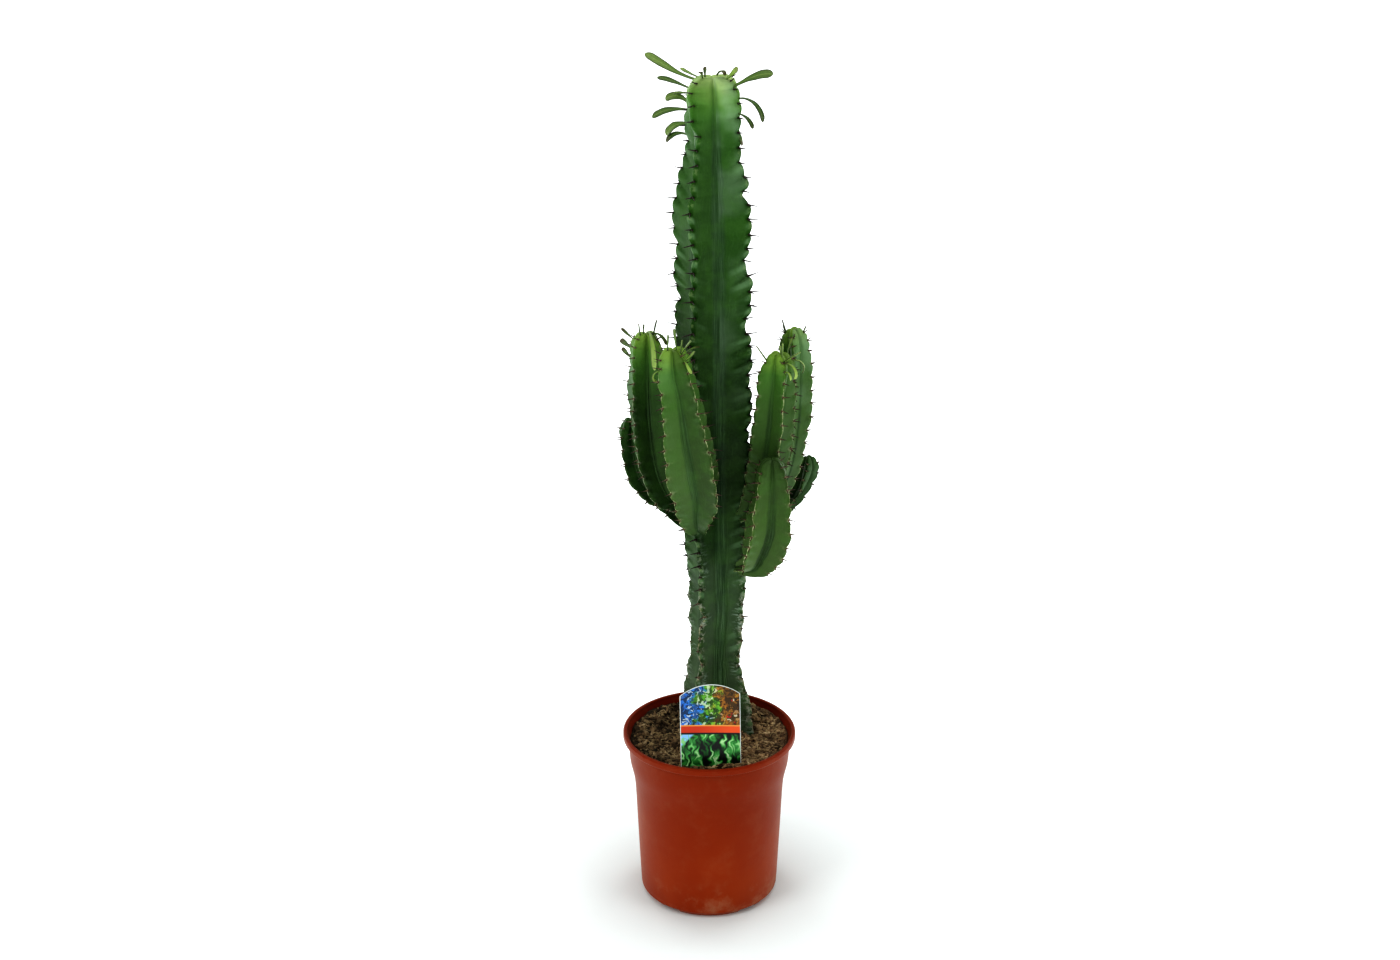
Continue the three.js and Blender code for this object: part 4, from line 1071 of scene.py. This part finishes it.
def drill_holes(pot, material):
    """Cut the drain holes out of the pot's floor."""
    drill = Batch()
    fan = np.arange(1, DRAIN_SIDES - 1)
    low = np.stack([np.zeros_like(fan), fan + 1, fan], axis=1)
    ends, quads = np.concatenate([low, low[:, ::-1] + DRAIN_SIDES]), grid_quads(2, DRAIN_SIDES, closed=True)
    for turn in around(DRAIN_HOLES):
        x, y = DRAIN_CIRCLE * math.sin(turn), -DRAIN_CIRCLE * math.cos(turn)
        rings = [ring_points(DRAIN_RADIUS, z, DRAIN_SIDES, x, y) for z in (DRILL_START, DRILL_END)]
        drill.add(np.concatenate(rings), ends, quads)
    cutter = drill.to_object("drill", material)
    cut = pot.modifiers.new("drain_holes", "BOOLEAN")
    cut.operation, cut.solver, cut.object = "DIFFERENCE", "MANIFOLD", cutter
    bpy.context.view_layer.objects.active = pot
    with bpy.context.temp_override(object=pot, active_object=pot, selected_objects=[pot]):
        bpy.ops.object.modifier_apply(modifier=cut.name)
    bpy.data.objects.remove(cutter, do_unlink=True)


def pot_material():
    """Terracotta-red plastic with a painted dark reflection high up, a little dusty low down and lightly
    scuffed.
    """
    shader = Shader("terracotta_plastic", roughness=0.4, specular=0.24, Sheen_Weight=0.07)
    shader.link(Specular_Tint=(1.0, 0.56, 0.3, 1.0), Sheen_Tint=(1.0, 0.66, 0.36, 1.0))
    step, noise, plus, times, coat = shader.step, shader.noise, shader.plus, shader.times, shader.coat
    place = shader.place()
    height = shader.split(place)[2]
    cloud, grain = noise(place, 14, 3), noise(place, 420, 4, 0.6)
    shader.colour = shader.mix(step(cloud, 0.35, 0.7), 0x93320B, 0x9B3A10)
    # a painted dark reflection that deepens towards the top
    coat(0x771F04, step(height, 0.02, 0.15), 0.75)
    coat(0x9A3716, step(grain, 0.5, 0.75), 0.12)
    low = plus(times(step(height, 0.045, 0.004), 0.42), 0.05)
    dusty = times(step(noise(place, 46, 5, 0.62), 0.46, 0.72), low)
    coat(0xB58A6C, dusty)
    streaky = noise(shader.vector("MULTIPLY", place, (1, 1, 0.06)), 300, 3, 0.6)
    coat(0xC07A58, step(streaky, 0.66, 0.74), step(cloud, 0.5, 0.6), 0.16)
    shader.link(Roughness=plus(times(plus(grain, dusty), 0.14), 0.34))
    return shader.finish(plus(noise(place, 260, 2), times(grain, 0.4)), 0.12, 0.0005)


finish_piece(pot_piece(pot_material()), "pot", "pot_plastic")

# ---- the soil ----

SOIL_LEVEL, SOIL_RADIUS, SOIL_BOTTOM = 162, 77.3, 5.6
MOUND_HEIGHT, MOUND_REACH = 4, 48
STEM_FOOT = np.array(MAIN_STEM["path"][2][:2])
STEM_CLEARANCE = 15  # of loose bits from the middle of the stem's foot
CRUMBS, CHIPS, FIBRES = 5600, 700, 330
CHIP_SIDES = 7
FIBRE_ROWS = 6


def soil_height(x, y):
    x, y = np.asarray(x, dtype=float), np.asarray(y, dtype=float)
    away = np.hypot(x - STEM_FOOT[0], y - STEM_FOOT[1]) / MOUND_REACH
    lumps = 1.3 * value_noise(3, 17, x, y) + 1.2 * value_noise(4, 8, x, y) + 0.6 * value_noise(5, 3.2, x, y)
    bank = 4.6 * smoothstep(44, 72, np.hypot(x, y))
    return SOIL_LEVEL + MOUND_HEIGHT * np.exp(-(away**2)) + lumps + bank


def soil_ground(material):
    """The bed of fine mix: a lumpy top on a plug that fills the pot."""
    sides, rings = 220, 70
    angles = around(sides)
    radii = SOIL_RADIUS * (np.arange(1, rings + 1) / rings) ** 0.85
    x, y = radii[:, None] * np.cos(angles), radii[:, None] * np.sin(angles)
    z = soil_height(x, y) + 0.25 * random.normal(size=x.shape)
    top = np.stack([x, y, z], axis=-1)[::-1].reshape(-1, 3)
    walls = [(62.0, SOIL_BOTTOM), (66.0, 9.0), (72.0, 141.5), (74.2, 148.0)]
    rows = [ring_points(radius, height, sides) for radius, height in walls]
    points = np.concatenate([*rows, top, [[0, 0, SOIL_BOTTOM], [0, 0, float(soil_height(0, 0))]]])
    looks = {"tone": np.full(len(points), 0.1), "pale": np.zeros(len(points))}
    return add_mesh("fine_mix", points, tube_faces(len(walls) + rings, sides), material, looks)


def scattered(count, margin):
    """Places on the soil's surface, outside the stem's foot."""
    places = []
    while len(places) < count:
        radius = (SOIL_RADIUS - margin) * math.sqrt(random.random())
        angle = random.uniform(0, 2 * math.pi)
        x, y = radius * math.cos(angle), radius * math.sin(angle)
        if math.hypot(x - STEM_FOOT[0], y - STEM_FOOT[1]) > STEM_CLEARANCE:
            places.append((x, y))
    return places


def on_soil(x, y, lift):
    return np.array([x, y, float(soil_height(x, y)) + lift])


def random_turn(tilt):
    """A random lean of up to tilt radians and then a random turn about Z."""
    spin = Matrix.Rotation(random.uniform(0, 2 * math.pi), 3, "Z")
    lean = Matrix.Rotation(random.uniform(-tilt, tilt), 3, "X")
    lean = lean @ Matrix.Rotation(random.uniform(-tilt, tilt), 3, "Y")
    return np.array(spin @ lean)


def icosahedron():
    g = (1 + math.sqrt(5)) / 2
    corners = [(-1, g, 0), (1, g, 0), (-1, -g, 0), (1, -g, 0), (0, -1, g), (0, 1, g), (0, -1, -g), (0, 1, -g)]
    corners += [(g, 0, -1), (g, 0, 1), (-g, 0, -1), (-g, 0, 1)]
    faces = [(0, 11, 5), (0, 5, 1), (0, 1, 7), (0, 7, 10), (0, 10, 11), (1, 5, 9), (5, 11, 4), (11, 10, 2)]
    faces += [(10, 7, 6), (7, 1, 8), (3, 9, 4), (3, 4, 2), (3, 2, 6), (3, 6, 8), (3, 8, 9), (4, 9, 5)]
    faces += [(2, 4, 11), (6, 2, 10), (8, 6, 7), (9, 8, 1)]
    return unit(np.array(corners, dtype=float)), np.array(faces)


def soil_crumbs(material):
    """Rounded crumbs of peat and small angular bits of bark."""
    corners, faces = icosahedron()
    batch = Batch()
    for x, y in scattered(CRUMBS, 1.6):
        size = random.gamma(2.6, 0.4)
        scale = size * random.uniform(0.65, 1.25, 3) * (1, 1, 0.75)
        shape = corners * random.uniform(0.72, 1.2, (len(corners), 1)) * scale
        shape = shape @ random_turn(0.7).T + on_soil(x, y, size * random.uniform(-0.1, 0.55))
        batch.add(shape, faces, tone=random.random() ** 1.4 * 0.8, pale=random.random() ** 5 * 0.6)
    return batch.to_object("peat_crumbs", material, smooth=False)


def soil_bark(material):
    """Flat chips of bark with ragged outlines."""
    batch = Batch()
    quads, ends = tube_faces(3, CHIP_SIDES)
    for x, y in scattered(CHIPS, 5.8):
        length, width = random.uniform(3.5, 11), random.uniform(2.0, 5.5)
        thick = random.uniform(0.5, 1.4)
        angles = np.arange(CHIP_SIDES) + random.uniform(-0.28, 0.28, CHIP_SIDES)
        angles = angles * 2 * math.pi / CHIP_SIDES
        radius = random.uniform(0.72, 1.1, CHIP_SIDES)
        outline = np.stack([np.cos(angles) * length, np.sin(angles) * width], axis=1) / 2 * radius[:, None]
        lift = random.uniform(-0.06, 0.06) * outline[:, 0] ** 2
        rows = [(0.84, -thick / 2), (1.0, 0.0), (0.86, thick / 2)]
        rows = [np.column_stack([outline * scale, lift + height]) for scale, height in rows]
        shape = np.concatenate([*rows, [[0, 0, -thick / 2], [0, 0, thick / 2 + 0.1]]])
        shape = shape @ random_turn(0.55).T + on_soil(x, y, random.uniform(0.3, 1.3))
        batch.add(shape, ends, quads, tone=random.uniform(0.2, 1), pale=random.random() ** 2 * 0.7)
    return batch.to_object("bark_chips", material, smooth=False)


def soil_fibres(material):
    """Pale splinters and fibres of wood that lie on the mix."""
    batch = Batch()
    section = np.array([(0, -1, -0.45), (0, 1, -0.45), (0, 0.8, 0.5), (0, -0.7, 0.55)])
    last = (FIBRE_ROWS - 1) * len(section) + np.arange(len(section))
    quads = grid_quads(FIBRE_ROWS, len(section), closed=True)
    quads = np.concatenate([quads, [[3, 2, 1, 0]], [last]])
    taper = 1 - 0.75 * np.abs(np.linspace(-1, 1, FIBRE_ROWS)) ** 3
    for x, y in scattered(FIBRES, 8):
        length = random.gamma(4, 2.4) + 3
        width = random.uniform(0.35, 1.1)
        bend = random.uniform(-0.25, 0.25)
        steps = np.linspace(-0.5, 0.5, FIBRE_ROWS) * length
        curve, sag = bend * steps**2 / length * 1.6, 0.02 * steps**2 * random.uniform(-1, 0.4)
        centre = np.column_stack([steps, curve, sag])
        shape = centre[:, None, :] + (section * width / 2)[None, :, :] * taper[:, None, None]
        shape = shape.reshape(-1, 3) @ random_turn(0.22).T
        if math.hypot(x, y) + np.abs(shape[:, :2]).max() > SOIL_RADIUS:
            continue
        shape = shape + on_soil(x, y, 1.0 + random.uniform(0, 0.8))
        batch.add(shape, quads=quads, tone=random.random(), pale=random.uniform(0.35, 1))
    return batch.to_object("wood_fibres", material)


def soil_material():
    """Brown mix whose bits differ in tone, with painted light on its right side and painted shade on its left.
    """
    shader = Shader("potting_mix", roughness=0.95, specular=0.15)
    step, coat, place = shader.step, shader.coat, shader.place()
    tone, pale = shader.attributes("tone", "pale")
    tones = [(0.0, 0x2C1F17), (0.2, 0x4C3626), (0.45, 0x7C6044), (0.75, 0xAA8C68), (1.0, 0xDCC6A0)]
    shader.colour = shader.ramp(tone, tones)
    coat(0xD6BC8C, pale)
    across = shader.split(place)[0]
    # painted light on the right side and painted shade on the left side
    coat(0xCDB089, step(across, 0.01, 0.05), 0.22)
    coat(0x38483A, step(across, 0.02, -0.03), 0.25)
    fine = shader.noise(place, 520, 5, 0.65)
    coat(0x2A1D12, step(fine, 0.6, 0.36), 0.4)
    coat(0x33261A, step(shader.noise(place, 70, 3), 0.5, 0.66), 0.6)
    return shader.finish(shader.plus(fine, shader.noise(place, 1500, 3)), 0.6, 0.0008)


POTTING_MIX = soil_material()
for build in (soil_ground, soil_crumbs, soil_bark, soil_fibres):
    finish_piece(build(POTTING_MIX), "soil", "potting_mix")

# ---- the label ----

LABEL_HALF, LABEL_HEIGHT, LABEL_ARCH, LABEL_THICKNESS = 29, 86, 10, 0.7
LABEL_RADIUS = (LABEL_HALF**2 + LABEL_ARCH**2) / (2 * LABEL_ARCH)  # of the arch at its top
STAKE_LENGTH, STAKE_HALF, STAKE_POINT = 27, 6, 1.5
SHOULDER_TOP, SHOULDER_BOTTOM = -4, -10  # where the label narrows to its stake
LABEL_CENTRE = (1.5, -64, SOIL_LEVEL)
LABEL_YAW, LABEL_LEAN = 6, 10
LABEL_COLUMNS = 33
LABEL_UNIT = 29  # mm to one unit of the print


def label_half(height):
    """Half the label's width at a height above the soil."""
    if height > LABEL_HEIGHT - LABEL_ARCH:
        return math.sqrt(max(LABEL_RADIUS**2 - (height - LABEL_HEIGHT + LABEL_RADIUS) ** 2, 0.0))
    heights, halves = [-STAKE_LENGTH, SHOULDER_BOTTOM, SHOULDER_TOP], [STAKE_POINT, STAKE_HALF, LABEL_HALF]
    return float(np.interp(height, heights, halves))


def label_top(x):
    """Height of the label's arch above the soil at a distance from its middle."""
    return LABEL_HEIGHT - LABEL_RADIUS + math.sqrt(max(LABEL_RADIUS**2 - x**2, 0.0))


def label_piece(material):
    """The bowed card on its stake, stuck in the mix."""
    stake, body = np.linspace(-STAKE_LENGTH, SHOULDER_BOTTOM, 6), np.linspace(0, 72, 25)
    arch = LABEL_HEIGHT - LABEL_ARCH * (1 - np.sin(np.linspace(0, math.pi / 2, 14)[:-1]))
    heights = np.concatenate([stake, [-7, SHOULDER_TOP], body, arch, [LABEL_HEIGHT - 0.02]])
    front, back, marks, borders = [], [], [], []
    for height in heights:
        half = label_half(height)
        for share in np.linspace(-1, 1, LABEL_COLUMNS):
            x = half * share
            bow = 0.9 * (x / LABEL_HALF) ** 2 + 0.5 * math.sin(height / 40)
            rounding = LABEL_THICKNESS / 2 * (1 if abs(share) < 1 else 0.55)
            front.append((x, height, bow + rounding))
            back.append((x, height, bow - rounding))
            marks.append((x / LABEL_UNIT, height / LABEL_UNIT, 1.0))
            borders.append(min(half - abs(x), label_top(x) - height))
    card = np.concatenate([np.array(marks), np.array(marks) * (1, 1, 0)])  # no print on the back
    attributes = {"card": card, "border": np.array(borders * 2)}
    lean = Matrix.Rotation(math.radians(90 - LABEL_LEAN), 3, "X")
    turn = np.array(Matrix.Rotation(math.radians(LABEL_YAW), 3, "Z") @ lean)
    points = np.array(front + back) @ turn.T + LABEL_CENTRE
    faces = [sheet_faces(len(heights), LABEL_COLUMNS)]
    return add_mesh("picture_card", points, faces, material, attributes)


def label_material():
    """A made-up garden print: a mosaic of petals over a slanting band, and long leaves below it."""
    shader = Shader("printed_card", roughness=0.35, specular=0.3)
    step, noise, mix, plus, times = shader.step, shader.noise, shader.mix, shader.plus, shader.times
    coat, vector = shader.coat, shader.vector
    card = shader.vector_attribute("card")
    across, up, printed = shader.split(card)
    border = shader.attributes("border")[0]
    fields = [(0.0, 0x2C6CC8), (0.3, 0x3C86D8), (0.42, 0x4E9A2A), (0.58, 0x7CB83A), (0.68, 0xB07C2A)]
    hue = shader.ramp(plus(times(across, 0.42), noise(card, 3, 3)), [*fields, (1.0, 0x7A3E10)])
    shader.colour = hue
    swirl = noise(card, 4.0, 1.0, 0.5, output="Color")
    petals = vector("ADD", vector("MULTIPLY", card, (1, 0.7, 0)), swirl)
    tone = shader.split(shader.voronoi(petals, 6, output="Color"))[0]
    coat(0x0A140C, step(tone, 0.5, 0.3), 0.8)
    coat(mix(0.5, hue, 0xE8F0D8), step(tone, 0.74, 0.78))
    coat(mix(0.5, hue, 0x101810), step(tone, 0.86, 0.88))
    coat(0xC82A20, step(tone, 0.975, 0.98))
    coat(0x101810, step(shader.voronoi(petals, 6, feature="DISTANCE_TO_EDGE"), 0.07, 0.02), 0.8)
    # the long leaves, with a patch of sky in their upper left corner
    lean = vector("ADD", card, vector("MULTIPLY", swirl, (0.5, 0.2, 0)))
    leaf = shader.voronoi(vector("MULTIPLY", lean, (1, 0.24, 0)), 7.0)
    leaf_tones = [(0.0, 0xF0FAE8), (0.16, 0xB4E0A4), (0.34, 0x4FAE54), (0.52, 0x1E6428), (0.66, 0x06120A)]
    corner = step(plus(up, times(across, -0.9)), 1.75, 1.85)
    leaves = mix(times(corner, step(leaf, 0.25, 0.35)), shader.ramp(leaf, leaf_tones), 0x8CC0EA)
    slant = plus(up, times(across, 0.05))

    def stripe(start, end):
        return times(step(slant, start - 0.01, start), step(slant, end + 0.01, end))

    coat(leaves, step(slant, 1.44, 1.43))
    coat(0x141412, stripe(1.27, 1.33))
    coat(mix(step(across, -0.6, 0.8), 0xC23A14, 0xDE5A26), stripe(1.33, 1.55))
    coat(0xE09A4C, stripe(1.55, 1.585))
    coat(0xDDE6E4, step(border, 0.9, 0.5))
    shader.colour = mix(printed, 0xD9DDD8, shader.colour)
    return shader.finish(noise(card, 60, 2), 0.05, 0.0004)


finish_piece(label_piece(label_material()), "plant_label", "label_card")

# ---- the floor and the light ----

FLOOR_HALF = 40000
WALL_SIDES, WALL_RADIUS, WALL_HEIGHT = 64, 38000, 1600
MIDDLE = (0, 0, 0.42)
SOFTBOXES = {  # place and size in metres, and power in watts
    "left": ((-1.5, -1.1, 1.7), (1.0, 1.6), 12),
    "right": ((1.6, -0.9, 1.5), (0.9, 1.6), 6),
    "top": ((0.0, 0.1, 2.3), (1.4, 1.4), 9),
    "back_left": ((-1.1, 1.5, 1.5), (1.0, 1.4), 6),
    "back_right": ((1.2, 1.4, 1.5), (1.0, 1.4), 6),
}
SKY_STRENGTH = 0.28


def add_floor():
    """A pale floor that glows more the farther it is from the pot, so that its fainter glow paints a soft shadow
    round the pot.
    """
    points = [(x * FLOOR_HALF, y * FLOOR_HALF, 0) for x, y in ((-1, -1), (1, -1), (1, 1), (-1, 1))]
    shader = Shader("pale_floor", roughness=0.9, specular=0.1, Emission_Color=WHITE)
    place = shader.place()
    away = shader.node("ShaderNodeVectorMath", {0: place}, operation="LENGTH").outputs["Value"]
    # the glow fades towards the pot: a painted soft shadow
    glow_with_painted_shadow = [(0.0, 0.0), (0.045, 0.03), (0.06, 0.09), (0.09, 0.16), (0.16, 0.3), (0.3, 0.55), (0.6, 0.9)]
    glow = shader.ramp(shader.times(away, 1 / 1.5), glow_with_painted_shadow)
    shader.link(Base_Color=shader.mix(shader.noise(place, 3, 2), 0xE8F2F1, 0xECF5F4), Emission_Strength=glow)
    add_mesh("floor", points, [[[0, 1, 2, 3]]], shader.material)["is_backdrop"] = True


def add_backdrop():
    """A low white wall round the floor's far edge, which hides the gap under the horizon."""
    points = np.concatenate([ring_points(WALL_RADIUS, z, WALL_SIDES) for z in (0, WALL_HEIGHT)])
    glow = dict(Emission_Color=WHITE, Emission_Strength=0.9)
    shader = Shader("white_wall", roughness=0.9, specular=0.1, **glow)
    shader.link(Base_Color=shader.mix(shader.noise(shader.place(), 0.01, 1), 0xF4F8F8, 0xFAFCFC))
    add_mesh("backdrop", points, [grid_quads(2, WALL_SIDES, closed=True)], shader.material)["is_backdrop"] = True


def add_softbox(name, place, size, power):
    data = bpy.data.lights.new(name, "AREA")
    data.shape = "RECTANGLE"
    data.size, data.size_y = size
    data.energy = power
    light = bpy.data.objects.new(name, data)
    light.location = place
    light.rotation_euler = (Vector(MIDDLE) - Vector(place)).to_track_quat("-Z", "Y").to_euler()
    bpy.context.collection.objects.link(light)


def add_world():
    world = bpy.data.worlds.new("studio")
    world.use_nodes = True
    background = world.node_tree.nodes["Background"]
    background.inputs["Color"].default_value = WHITE
    background.inputs["Strength"].default_value = SKY_STRENGTH
    bpy.context.scene.world = world


add_floor()
add_backdrop()
add_world()
for name, (place, size, power) in SOFTBOXES.items():
    add_softbox(name + "_softbox", place, size, power)
bpy.context.scene.view_settings.view_transform = "Standard"
bpy.context.scene.view_settings.look = "High Contrast"

# ---- the end ----

visual_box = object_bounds()
boxes = {"cad": cad_box, "visual": visual_box}
{key: [list(map(float, corner)) for corner in box] for key, box in boxes.items()}
